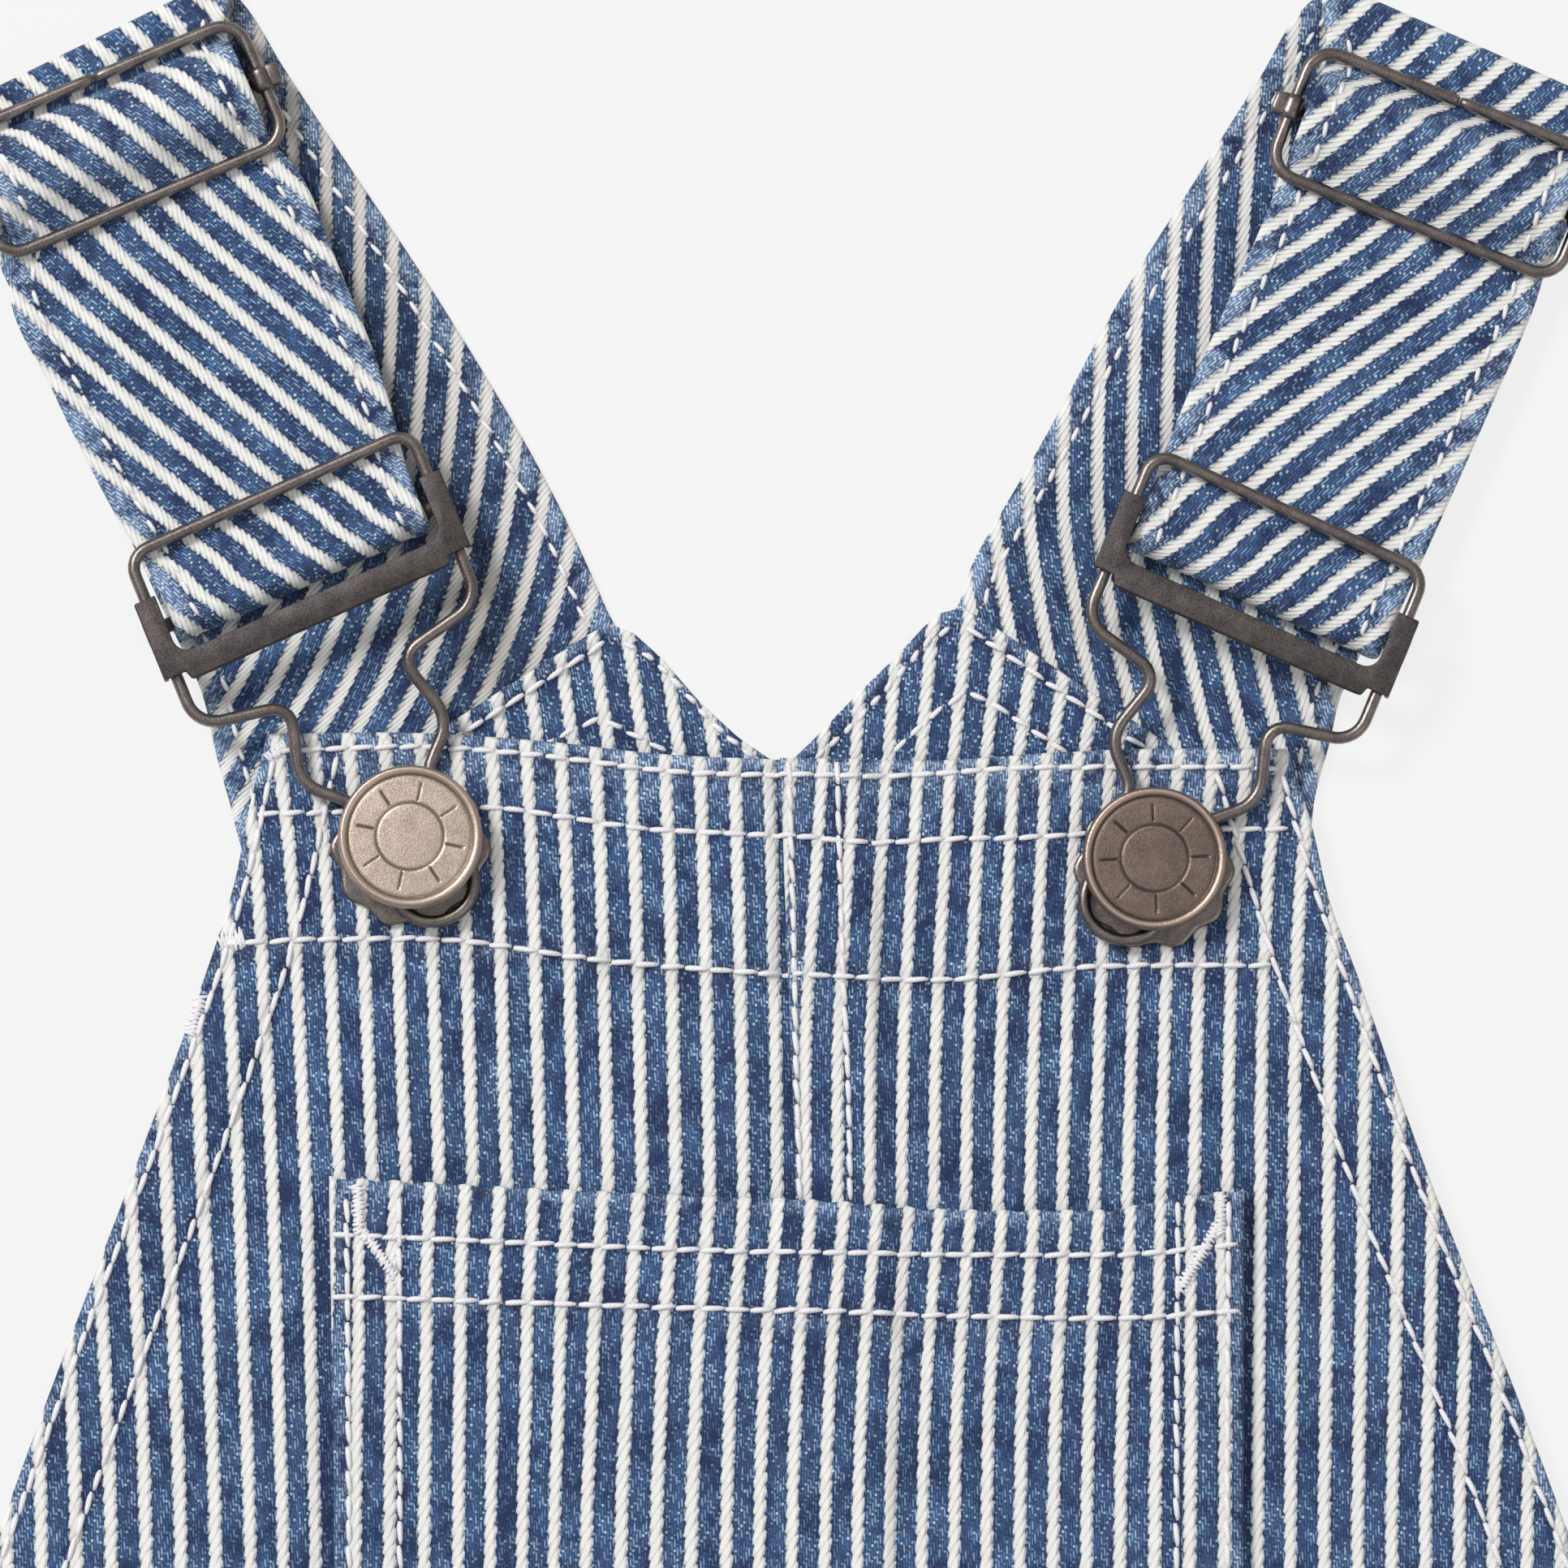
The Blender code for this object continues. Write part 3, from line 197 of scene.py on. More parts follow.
def softLine(points, step=3.0):
    # the same line with its corners eased
    points = np.asarray(points, float)
    if len(points) < 3:
        return alongLine(points, step)
    way = wayAlong(points)
    at = np.linspace(0, way[-1], max(int(way[-1] / step), 2))
    return np.stack([curveThrough(way, points[:, k], at) for k in (0, 1)], -1)


def toLine(x, y, points):
    # distance from a line, signed by its side, and place along it
    best = np.full(np.shape(x), 1e9)
    side, along, run = np.zeros(np.shape(x)), np.zeros(np.shape(x)), 0.0
    for (ax, ay), (bx, by) in zip(points[:-1], points[1:]):
        dx, dy = bx - ax, by - ay
        length = math.hypot(dx, dy) + 1e-9
        part = np.clip(((x - ax) * dx + (y - ay) * dy) / length**2, 0, 1)
        away = np.hypot(x - ax - part * dx, y - ay - part * dy)
        nearer = away < best
        best = np.where(nearer, away, best)
        side = np.where(nearer, np.sign((x - ax) * dy - (y - ay) * dx), side)
        along = np.where(nearer, run + part * length, along)
        run += length
    return best, side, along


# finishes: a value in a shader tree is a socket or a plain number

def feed(source, target):
    if hasattr(source, "is_output"):
        target.id_data.links.new(source, target)
    else:
        target.default_value = source


def newNode(kind, feeds, **settings):
    # a node in the tree that its feeds come from
    tree = next(value.id_data for value in feeds.values() if hasattr(value, "is_output"))
    node = tree.nodes.new("ShaderNode" + kind)
    for label, value in settings.items():
        setattr(node, label, value)
    for place, value in feeds.items():
        feed(value, node.inputs[place])
    return node


def sums(operation, *values):
    return newNode("Math", dict(enumerate(values)), operation=operation).outputs[0]


def plus(first, second):
    return sums("ADD", first, second)


def minus(first, second):
    return sums("SUBTRACT", first, second)


def times(first, second):
    return sums("MULTIPLY", first, second)


def over(first, second):
    return sums("DIVIDE", first, second)


def offMiddle(noise, gain, middle=0.5):
    return times(minus(noise, middle), gain)


def blendColour(share, first, second, way="MIX"):
    return newNode("Mix", {"Factor": share, 6: first, 7: second}, data_type="RGBA", blend_type=way).outputs[2]


def softStep(value, low, high):
    return newNode("MapRange", {0: value, 1: low, 2: high}, interpolation_type="SMOOTHSTEP").outputs[0]


def cloudAt(place, scale, detail=2.0, roughness=0.5):
    feeds = {"Vector": place, "Scale": scale, "Detail": detail, "Roughness": roughness}
    return newNode("TexNoise", feeds, noise_dimensions="3D").outputs["Fac"]


def partsOf(vector):
    return newNode("SeparateXYZ", {0: vector}).outputs


def randomAt(yarn, place=None):
    # a number of its own for each yarn, or for each place on it
    if place is None:
        return newNode("TexWhiteNoise", {"W": yarn}, noise_dimensions="1D").outputs["Value"]
    spot = newNode("CombineXYZ", {0: yarn, 1: place}).outputs[0]
    return newNode("TexWhiteNoise", {"Vector": spot}, noise_dimensions="2D").outputs["Value"]


def placeGroup(name, feeds):
    return newNode("Group", feeds, node_tree=bpy.data.node_groups[name]).outputs


def newGroup(name, inputs, outputs):
    # an input starts as a number or a colour, or is None for a vector
    tree = bpy.data.node_groups.new(name, "ShaderNodeTree")
    for label, value in inputs.items():
        kind = "Vector" if value is None else "Color" if isinstance(value, tuple) else "Float"
        socket = tree.interface.new_socket(name=label, in_out="INPUT", socket_type="NodeSocket" + kind)
        if value is not None:
            socket.default_value = value
    for label in outputs:
        kind = "Color" if label == "Color" else "Float"
        tree.interface.new_socket(name=label, in_out="OUTPUT", socket_type="NodeSocket" + kind)
    return tree.nodes.new("NodeGroupInput").outputs, tree.nodes.new("NodeGroupOutput").inputs


def makeRopeStripe():
    # corded stripe: where it is, how high it stands, the lines that its weft leaves, and the painted shade beside it
    given, out = newGroup(
        "ropeStripe",
        {"Cloth": None, "Repeat": 0.004, "Share": 0.362, "Float": 0.00185, "Slope": 1.58, "Scallop": 0.055},
        ["Mask", "Height", "Lines", "ShadeBesideCord"],
    )
    u, v, _ = partsOf(given["Cloth"])
    count = over(u, given["Repeat"])
    across = minus(count, sums("ROUND", count))
    drift = cloudAt(given["Cloth"], 420.0, 1.0)
    turn = plus(over(minus(v, times(u, given["Slope"])), given["Float"]), times(drift, 0.7))
    cusp = minus(1.0, sums("ABSOLUTE", sums("SINE", times(turn, math.pi))))
    half = minus(times(given["Share"], 0.5), times(minus(cusp, 0.36), given["Scallop"]))
    half = plus(half, offMiddle(drift, 0.07))
    half = plus(half, offMiddle(cloudAt(given["Cloth"], 2600.0, 1.0), 0.07))
    edge = minus(half, sums("ABSOLUTE", across))
    feed(softStep(edge, -0.022, 0.022), out["Mask"])
    lines = sums("POWER", cusp, 1.8)
    feed(lines, out["Lines"])
    # painted shade: a dark band along each cord's edge
    feed(times(softStep(edge, -0.085, -0.005), softStep(edge, 0.075, 0.0)), out["ShadeBesideCord"])
    feed(times(softStep(edge, -0.01, 0.11), minus(1.0, times(lines, 0.28))), out["Height"])


def makeTwillFloats():
    # warp floats stepping up to the right, and the pale weft specks between them, each with its own shade
    given, out = newGroup(
        "twillFloats",
        {"Cloth": None, "Yarn": 0.0003333, "Float": 0.00185, "Slope": 1.58},
        ["Streak", "Shade", "Speck", "Glint"],
    )
    u, v, _ = partsOf(given["Cloth"])
    across = plus(over(u, given["Yarn"]), offMiddle(cloudAt(given["Cloth"], 260.0, 1.0), 0.9))
    yarn = sums("FLOOR", across)
    side = minus(sums("FRACT", across), 0.5)
    step = over(times(given["Yarn"], given["Slope"]), given["Float"])
    along = minus(over(v, given["Float"]), times(yarn, step))
    along = plus(along, times(randomAt(yarn), 0.16))
    run = minus(sums("FRACT", along), 0.5)
    leant = sums("ABSOLUTE", plus(side, times(run, 0.35)))
    feed(times(softStep(leant, 0.5, 0.08), softStep(sums("ABSOLUTE", run), 0.38, 0.13)), out["Streak"])
    feed(randomAt(yarn, sums("FLOOR", along)), out["Shade"])
    # the weft shows where one float ends and the next begins
    later = plus(along, 0.5)
    below = times(minus(sums("FRACT", later), 0.5), over(given["Float"], given["Yarn"]))
    away = sums("SQRT", plus(times(side, side), times(below, below)))
    glint = randomAt(yarn, plus(sums("FLOOR", later), 0.37))
    reach = plus(0.45, times(glint, 0.28))
    feed(softStep(away, reach, minus(reach, 0.36)), out["Speck"])
    feed(glint, out["Glint"])


def makeWashedDenim():
    # striped cloth with wear, painted shade and a painted shadow, ready for a shader
    given, out = newGroup(
        "washedDenim",
        {"Cloth": None, "Worn": None, "Dark": (0.02, 0.04, 0.11, 1), "Middle": (0.05, 0.13, 0.3, 1),
         "Fleck": (0.4, 0.55, 0.72, 1), "Cord": (0.83, 0.8, 0.76, 1), "Shadow": (0.5, 0.47, 0.43, 1),
         "Fade": 0.5, "Specks": 0.6, "Twist": 0.0018},
        ["Color", "Roughness", "Height"],
    )
    mask, height, lines, shadeBesideCord = placeGroup("ropeStripe", {"Cloth": given["Cloth"], "Float": given["Twist"]})
    streak, shade, speck, glint = placeGroup("twillFloats", {"Cloth": given["Cloth"]})
    rubbing, paintedShade, paintedShadow = partsOf(given["Worn"])
    mottle = cloudAt(given["Cloth"], 520.0, 3.0, 0.65)
    broad = cloudAt(given["Cloth"], 95.0)
    patch = cloudAt(given["Cloth"], 250.0, 2.0, 0.55)
    rubbed = times(rubbing, softStep(plus(mottle, offMiddle(patch, 0.8)), 0.28, 0.66))
    cloud = plus(plus(minus(mottle, 0.5), offMiddle(broad, 0.9)), offMiddle(patch, 1.3))
    wash = softStep(cloud, -0.5, 0.62)
    # each float's streak is painted paler along its middle (painted highlight); the wash, fade and rubbing in lit are
    # the cloth's own tone
    lit = times(times(streak, plus(0.15, times(shade, 0.9))), plus(0.35, times(wash, 1.15)))
    lit = plus(plus(lit, 0.12), times(cloud, given["Fade"]))
    lit = plus(lit, times(rubbed, 0.42))
    # painted shade: the blue is darkened in grooves and troughs, and along each cord's edge
    lit = minus(lit, plus(times(paintedShade, 0.5), times(shadeBesideCord, 0.3)))
    ground = blendColour(sums("MAXIMUM", sums("MINIMUM", lit, 1.0), 0.0), given["Dark"], given["Middle"])
    # the dye differs a little from float to float
    ground = blendColour(times(glint, 0.7), ground, (0.72, 1.04, 0.93, 1), "MULTIPLY")
    ground = blendColour(softStep(shade, 0.55, 0.05), ground, (1.22, 0.95, 0.97, 1), "MULTIPLY")
    glossy = times(softStep(shade, 0.4, 1.0), sums("POWER", streak, 1.5))
    spots = times(speck, plus(0.15, softStep(glint, 0.3, 1.0)))
    bright = plus(times(glossy, 0.42), times(spots, given["Specks"]))
    bright = times(bright, plus(0.2, times(wash, 1.35)))
    raised = sums("MAXIMUM", streak, spots)
    frayed = times(rubbed, plus(0.1, times(raised, 0.8)))
    blue = blendColour(sums("MINIMUM", plus(bright, frayed), 1.0), ground, given["Fleck"])
    # the cords are painted greyer towards Shadow along their twist lines, in grooves and at their edges (painted
    # shade), and with the mottle (their own tone)
    twist = plus(plus(times(lines, 0.17), times(paintedShade, 0.3)), times(shadeBesideCord, 0.3))
    twist = plus(twist, offMiddle(mottle, 0.5, 0.45))
    white = blendColour(sums("MAXIMUM", twist, 0.0), given["Cord"], given["Shadow"])
    # painted shadow: where a strap's upper stretch shades the lower one, the colour is multiplied towards a dark
    # brown
    feed(blendColour(paintedShadow, blendColour(mask, blue, white), (0.33, 0.29, 0.26, 1), "MULTIPLY"), out["Color"])
    feed(plus(0.8, times(mottle, 0.15)), out["Roughness"])
    weave = sums("MAXIMUM", times(raised, 0.00006), times(height, 0.0002))
    feed(plus(weave, times(mottle, 0.00012)), out["Height"])


def makeAgedMetal():
    # oxide in soft patches, rubbed bright where fingers and cloth touch
    given, out = newGroup(
        "agedMetal",
        {"Place": None, "Deep": (0.08, 0.065, 0.06, 1), "Rubbed": (0.4, 0.36, 0.34, 1), "Grain": 1.0,
         "Worn": None, "Polished": (0.3, 0.26, 0.24, 1), "Dull": 0.3},
        ["Color", "Roughness", "Height"],
    )
    stretch = newNode("VectorMath", {0: given["Place"], 1: (1.0, 0.25, 1.0)}, operation="MULTIPLY").outputs[0]
    patches = cloudAt(given["Place"], 380.0, 3.0, 0.6)
    specks = cloudAt(given["Place"], 5200.0, 2.0, 0.7)
    brushed = cloudAt(stretch, 6000.0, 1.0)
    rubbing, struck, _ = partsOf(given["Worn"])
    mix = plus(times(patches, 0.4), times(specks, 0.6))
    plain = blendColour(softStep(mix, 0.3, 0.72), given["Deep"], given["Rubbed"])
    shiny = blendColour(rubbing, plain, given["Polished"])
    # oxide stays in what is struck into the face
    feed(blendColour(times(struck, 0.75), shiny, (0.035, 0.028, 0.025, 1)), out["Color"])
    feed(plus(given["Dull"], times(specks, 0.22)), out["Roughness"])
    fine = plus(times(specks, 0.000022), times(brushed, 0.000008))
    feed(times(fine, given["Grain"]), out["Height"])


def newMaterial(name, settings):
    material = bpy.data.materials.new(name)
    material.use_nodes = True
    shader = material.node_tree.nodes["Principled BSDF"]
    for label, value in settings.items():
        shader.inputs[label].default_value = value
    return material, material.node_tree, shader.inputs


def readPoints(tree, label):
    # values kept on a mesh's points
    reader = tree.nodes.new("ShaderNodeAttribute")
    reader.attribute_name = label
    return reader.outputs["Vector"]


def bumpBy(height, shader):
    feed(newNode("Bump", {"Height": height, "Distance": 1.0}).outputs["Normal"], shader["Normal"])


def finishBy(group, feeds, shader):
    colour, roughness, height = placeGroup(group, feeds)
    feed(colour, shader["Base Color"])
    feed(roughness, shader["Roughness"])
    bumpBy(height, shader)


denimColours = {"Dark": "#26345a", "Middle": "#5b82b4", "Fleck": "#cbdaea", "Cord": "#efefec", "Shadow": "#a69f98"}


def makeDenim(name, fade, specks, twist):
    sheen = {"Specular IOR Level": 0.2, "Sheen Weight": 0.1, "Sheen Roughness": 0.5}
    material, tree, shader = newMaterial(name, sheen)
    feeds = {"Cloth": readPoints(tree, "cloth"), "Worn": readPoints(tree, "worn")}
    feeds |= {label: hexColour(colour) for label, colour in denimColours.items()}
    finishBy("washedDenim", feeds | {"Fade": fade, "Specks": specks, "Twist": twist}, shader)
    return material


def makeMetal(name, deep, rubbed, grain, dull, polished="#8a7d76"):
    material, tree, shader = newMaterial(name, {"Metallic": 1.0})
    place = tree.nodes.new("ShaderNodeTexCoord").outputs["Object"]
    feeds = {"Place": place, "Worn": readPoints(tree, "worn"), "Grain": grain, "Dull": dull}
    feeds |= {"Deep": hexColour(deep), "Rubbed": hexColour(rubbed), "Polished": hexColour(polished)}
    finishBy("agedMetal", feeds, shader)
    return material


def makeThread():
    material, tree, shader = newMaterial("threadWhite", {"Roughness": 0.7, "Specular IOR Level": 0.25})
    place = readPoints(tree, "cloth")
    along, around, _ = partsOf(place)
    # the thread is painted darker in the grooves between its plies (painted shade), and bumped there too
    ply = sums("ABSOLUTE", sums("SINE", plus(times(along, 5600.0), around)))
    tone = times(plus(ply, cloudAt(place, 900.0)), 0.5)
    feed(blendColour(tone, hexColour("#dddadc"), hexColour("#fcfbfd")), shader["Base Color"])
    bumpBy(times(ply, 0.00002), shader)
    return material


makeRopeStripe()
makeTwillFloats()
makeWashedDenim()
makeAgedMetal()
denimFront = makeDenim("denimFront", fade=0.5, specks=0.62, twist=0.0017)
denimBack = makeDenim("denimBack", fade=0.3, specks=0.85, twist=0.0015)
denimStrap = makeDenim("denimStrap", fade=0.6, specks=0.85, twist=0.0011)
threadWhite = makeThread()
wireMetal = makeMetal("wireMetal", "#605958", "#988e88", grain=0.8, dull=0.24)
plateMetal = makeMetal("plateMetal", "#3c383a", "#6e6664", grain=2.4, dull=0.4)
# painted reflection: the left cap's copy of the button metal is much lighter than the right cap's
buttonMetals = {"left": makeMetal("buttonMetalLeft", "#ac998c", "#dccabd", 1.5, 0.32, polished="#cbb5a6"),
                "right": makeMetal("buttonMetalRight", "#6b5d56", "#8d7c73", 1.5, 0.32, polished="#c0aa9c")}
print("finishes made")


# stripes: where some of the white cords run, by height, under their numbers

stripeRuns = {
    "frontLeft": {"up": [10.0, 0.0, -10.0, -30.0, -50.0, -70.0, -90.0, -200.0, -700.0],
                  5: [-10.3, -9.9, -9.55, -9.1, -8.75, -8.4, -8.2, -7.6, -7.6],
                  -2: [-39.2, -38.5, -37.95, -37.3, -36.7, -36.3, -36.05, -35.4, -35.4],
                  -9: [-69.4, -67.9, -66.6, -65.3, -64.3, -63.6, -62.9, -62.7, -62.7],
                  -15: [-95.0, -93.5, -92.2, -90.9, -89.9, -88.3, -87.5, -87.2, -87.2]},
    "frontRight": {"up": [10.0, 0.0, -10.0, -30.0, -50.0, -70.0, -90.0, -200.0, -700.0],
                   -5: [16.4, 15.8, 15.2, 14.15, 13.9, 13.7, 13.6, 13.4, 13.4],
                   1: [39.1, 38.5, 38.0, 37.3, 36.65, 36.6, 36.6, 36.4, 36.4],
                   7: [63.8, 62.6, 61.3, 60.4, 60.2, 59.9, 59.65, 59.8, 59.8],
                   15: [98.0, 96.5, 95.0, 94.0, 93.0, 92.4, 91.5, 91.6, 91.6]},
    "pocket": {"up": [-50.0, -58.0, -66.0, -75.0, -85.0, -160.0],
               -12: [-53.6, -53.6, -53.9, -54.3, -54.5, -55.1],
               -11: [-50.0, -50.25, -50.2, -50.4, -50.45, -51.0],
               -8: [-37.7, -38.1, -38.15, -38.25, -38.3, -38.8],
               -4: [-21.4, -22.0, -22.5, -22.75, -23.2, -23.8],
               0: [-4.7, -5.3, -5.95, -6.4, -6.7, -7.2],
               4: [11.15, 10.35, 9.6, 9.1, 8.75, 8.3],
               8: [25.85, 25.15, 24.6, 24.1, 23.9, 23.4],
               12: [40.95, 40.6, 40.15, 39.85, 39.6, 39.2],
               15: [51.4, 51.6, 51.8, 52.0, 51.9, 51.6]},
    "strapBackLeft": {"up": [95.0, 64.7, 52.1, 39.5, 33.2, 27.0, 22.1, 12.9, 8.6, -8.0],
                      0: [-27.2, -26.9, -27.0, -28.0, -28.8, -30.0, -31.3, -34.7, -36.8, -46.0],
                      -5: [-46.9, -46.6, -46.9, -48.2, -49.2, -50.6, -52.1, -55.9, -58.3, -68.0],
                      -10: [-66.6, -66.3, -66.8, -68.4, -69.6, -71.2, -72.9, -77.1, -79.8, -90.0]},
    "strapBackRight": {"up": [90.0, 70.0, 55.0, 35.5, 20.0, 8.0, -8.0],
                       -2: [28.2, 26.5, 25.6, 24.9, 26.5, 29.0, 33.0],
                       0: [36.4, 34.7, 33.8, 33.1, 34.8, 37.3, 41.3],
                       2: [44.5, 42.8, 41.9, 41.3, 43.1, 45.6, 49.6]},
}


def stripeCount(run, x, y):
    # how many repeats over from cord number 0, counted between the known cords on either side
    numbers = sorted(key for key in run if key != "up")
    places = [curveThrough(run["up"][::-1], run[number][::-1], y) for number in numbers]
    count, last, far = numbers[0] + 0.0 * x, len(numbers) - 2, 99
    for k in range(last + 1):
        part = (x - places[k]) / (places[k + 1] - places[k])
        part = np.clip(part, -far if k == 0 else 0, far if k == last else 1)
        count = count + (numbers[k + 1] - numbers[k]) * part
    return count


def leanedCount(course, x, y):
    # straight cords: a point on one of them, how far they lean from upright, and their repeat
    lean = math.radians(course["lean"])
    px, py = course["through"]
    return ((x - px) * math.cos(lean) + (y - py) * math.sin(lean)) / course["repeat"]


# fronts: how wide they are at each drop below the top edge, and how they lie

frontCut = {
    "drop": [0, 9, 18, 27.5, 50, 75, 100, 125, 150, 168, 181, 188, 215, 260, 320, 372, 386, 400, 430, 500, 580, 650,
             703],
    "left": [-61.3, -63.4, -65.2, -68.2, -76.4, -86.0, -95.4, -105.8, -118.5, -130.5, -142.0, -149.0, -151.0, -154.0,
             -157.5, -158.5, -158.6, -158.6, -158.5, -158.0, -157.5, -157.0, -156.6],
    "right": [59.6, 62.5, 64.6, 68.1, 76.0, 86.0, 95.4, 105.8, 118.5, 130.5, 142.0, 149.0, 151.0, 154.0, 157.5, 158.5,
              158.6, 158.6, 158.5, 158.3, 158.6, 158.8, 159.0],
    "crotchDrop": [386, 400, 430, 500, 580, 650, 703],
    "crotchLeft": [-0.3, -5.0, -9.0, -13.5, -18.0, -21.5, -24.0],
    "crotchRight": [0.3, 5.0, 9.0, 14.0, 19.5, 24.0, 27.2],
    "loftDrop": [0, 168, 188, 215, 260, 320, 386, 430, 500, 580, 650, 703],
    "loft": [0, 0, 0.3, 0.8, 1.3, 1.6, 1.9, 2.2, 2.3, 2.2, 2.0, 1.5],
    "sagAcross": [-90, -70, -48, -30, -14, 0, 18, 32, 46, 70, 90],
    "sagRise": [2.8, 2.9, 3.2, 2.3, 0.6, 0.0, -0.1, 0.8, 1.3, 1.2, 1.1],
    "lapDrop": [0, 50, 386], "lapEdge": [-0.5, 1.4, 1.4],
    "topEdge": 3.0, "floor": 1.6, "ply": 1.2, "under": 1.0, "gap": 0.3, "turned": 0.6,
    "topBand": 25.5, "sideBand": 9.0, "hem": 20.0, "lap": 9.0, "tuck": 8.7, "tuckEnds": (342, 372), "length": 703.0,
    "crotchStart": 386.0, "bandEnds": 188.0,
}


def sagAt(x, drop):
    return curveThrough(frontCut["sagAcross"], frontCut["sagRise"], x) * (1 - ease(0, 150, drop))


def lapEdge(drop):
    return np.interp(drop, frontCut["lapDrop"], frontCut["lapEdge"])


def sideEdge(side, drop):
    return curveThrough(frontCut["drop"], frontCut[side], drop)


def crotchEdge(side, drop):
    below = np.maximum(drop, frontCut["crotchStart"])
    return curveThrough(frontCut["crotchDrop"], frontCut[sided("crotch", side)], below)


def heightAt(x, drop):
    return frontCut["topEdge"] - drop + sagAt(x, drop)


def dropAt(x, y):
    # the same the other way: a height with the sag taken out again
    drop = frontCut["topEdge"] - y
    for _ in range(3):
        drop = frontCut["topEdge"] - y + sagAt(x, drop)
    return drop


def sideRow(side, inset):
    # a row of stitching that keeps its distance from the side
    lines = []
    for drop in np.arange(3.0, frontCut["bandEnds"], 12.0).tolist() + [frontCut["bandEnds"]]:
        slope = (sideEdge(side, drop + 1) - sideEdge(side, drop - 1)) / 2
        x = float(sideEdge(side, drop) - hands[side] * inset * math.hypot(1, slope))
        lines.append((x, float(heightAt(x, drop))))
    return lines


# rows of stitching, as lines in plan; ripple is how much the cloth gathers beside a row
bibRows = {
    "top": [(-60.2, 3.9), (-44.8, 4.4), (-38.7, 4.2), (-30.1, 3.5), (-22.4, 2.6), (-13.6, 1.5), (0.6, 1.0),
            (8.9, 0.8), (16.7, 1.1), (31.2, 2.0), (56.1, 2.0), (58.6, 1.6)],
    "second": [(-62.4, -3.6), (-47.0, -3.2), (-36.0, -2.8), (-27.6, -3.7), (-17.2, -5.3), (-6.4, -5.9), (0.9, -6.3),
               (9.5, -7.1), (19.6, -6.6), (31.2, -6.3), (45.0, -5.4), (60.0, -5.4)],
    "third": [(-66.8, -19.1), (-52.0, -18.5), (-39.6, -18.6), (-21.8, -21.0), (0.0, -22.7), (17.8, -23.3),
              (35.6, -21.8), (58.1, -21.6)],
}
rowsOn = {side: [
    {"line": bibRows["top"], "ripple": 0.07}, {"line": bibRows["second"], "ripple": 0.10},
    {"line": bibRows["third"], "ripple": 0.22},
    {"line": sideRow(side, 1.5), "ripple": 0.07}, {"line": sideRow(side, 8.8), "ripple": 0.17},
] for side in hands}
rowsOn["right"] += [
    {"line": [(0.6, 2.5), (1.2, -20.0), (1.5, -36.0), (1.85, -48.0), (1.85, -382.0)], "ripple": 0.08},
    {"line": [(6.3, 2.5), (6.9, -20.0), (7.6, -36.0), (7.8, -48.0), (7.8, -382.0)], "ripple": 0.14},
]

# soft creases, given one by one: where each runs, how wide it is, and how far it lifts (or dips) the cloth
creases = [
    ([(-58, -30), (-46, -36), (-37, -39)], 5.0, 0.35),
    ([(-30, -27), (-27, -36), (-29, -46)], 3.5, -0.22),
    ([(14, -26), (18, -34), (17, -44)], 4.0, 0.29),
    ([(33, -27), (30, -38)], 3.0, -0.19),
    ([(48, -28), (58, -38), (63, -47)], 4.5, 0.32),
    ([(-84, -78), (-72, -72), (-62, -73)], 4.0, 0.26),
    ([(66, -60), (76, -70), (80, -84)], 5.0, -0.29),
    ([(-120, -190), (-92, -204), (-58, -206)], 9.0, 0.80),
    ([(118, -186), (96, -199), (70, -203), (52, -200)], 8.0, 0.72),
    ([(-110, -262), (-84, -270)], 7.0, -0.56),
    ([(-6, -376), (-30, -350), (-62, -336)], 8.0, 0.88),
    ([(8, -378), (34, -356), (58, -347), (84, -345)], 9.0, 0.80),
    ([(16, -400), (52, -392), (80, -396)], 8.0, -0.64),
    ([(-18, -410), (-46, -404), (-70, -408)], 7.0, 0.64),
    ([(-150, -470), (-122, -482), (-96, -480)], 9.0, 0.80),
    ([(148, -492), (124, -498), (108, -508)], 8.0, 0.72),
    ([(-60, -560), (-82, -568), (-112, -566)], 10.0, -0.56),
    ([(52, -590), (84, -600), (104, -598)], 9.0, 0.64),
    ([(-130, -632), (-104, -640)], 8.0, 0.56),
]


def creaseLift(x, y, table):
    lift = np.zeros(np.shape(x))
    for places, wide, rising in table:
        line = softLine(places)
        away, side, along = toLine(x, y, line)
        fade = np.sin(np.clip(along / wayAlong(line)[-1], 0.02, 0.98) * math.pi) ** 0.6
        lift += rising * fade * bell(away, 0, wide * np.where(side > 0, 1.0, 0.7))
    return lift


def seamLift(x, y, rows):
    # groove under each row, the roll beside it, and the small gathers that sewing leaves; the groove is also given as
    # painted shade
    lift, shade = np.zeros(np.shape(x)), np.zeros(np.shape(x))
    for number, row in enumerate(rows):
        away, _, along = toLine(x, y, softLine(row["line"], 4.0))
        groove = bell(away, 0, 0.55)
        gather = np.sin(along * 1.25 + 1.7 * number + 0.9 * np.sin(along * 0.31 + number)) * bell(away, 0, 2.6)
        lift += -0.14 * groove + 0.08 * bell(away, 1.5, 0.9) + row["ripple"] * gather
        shade += groove
    return lift, shade


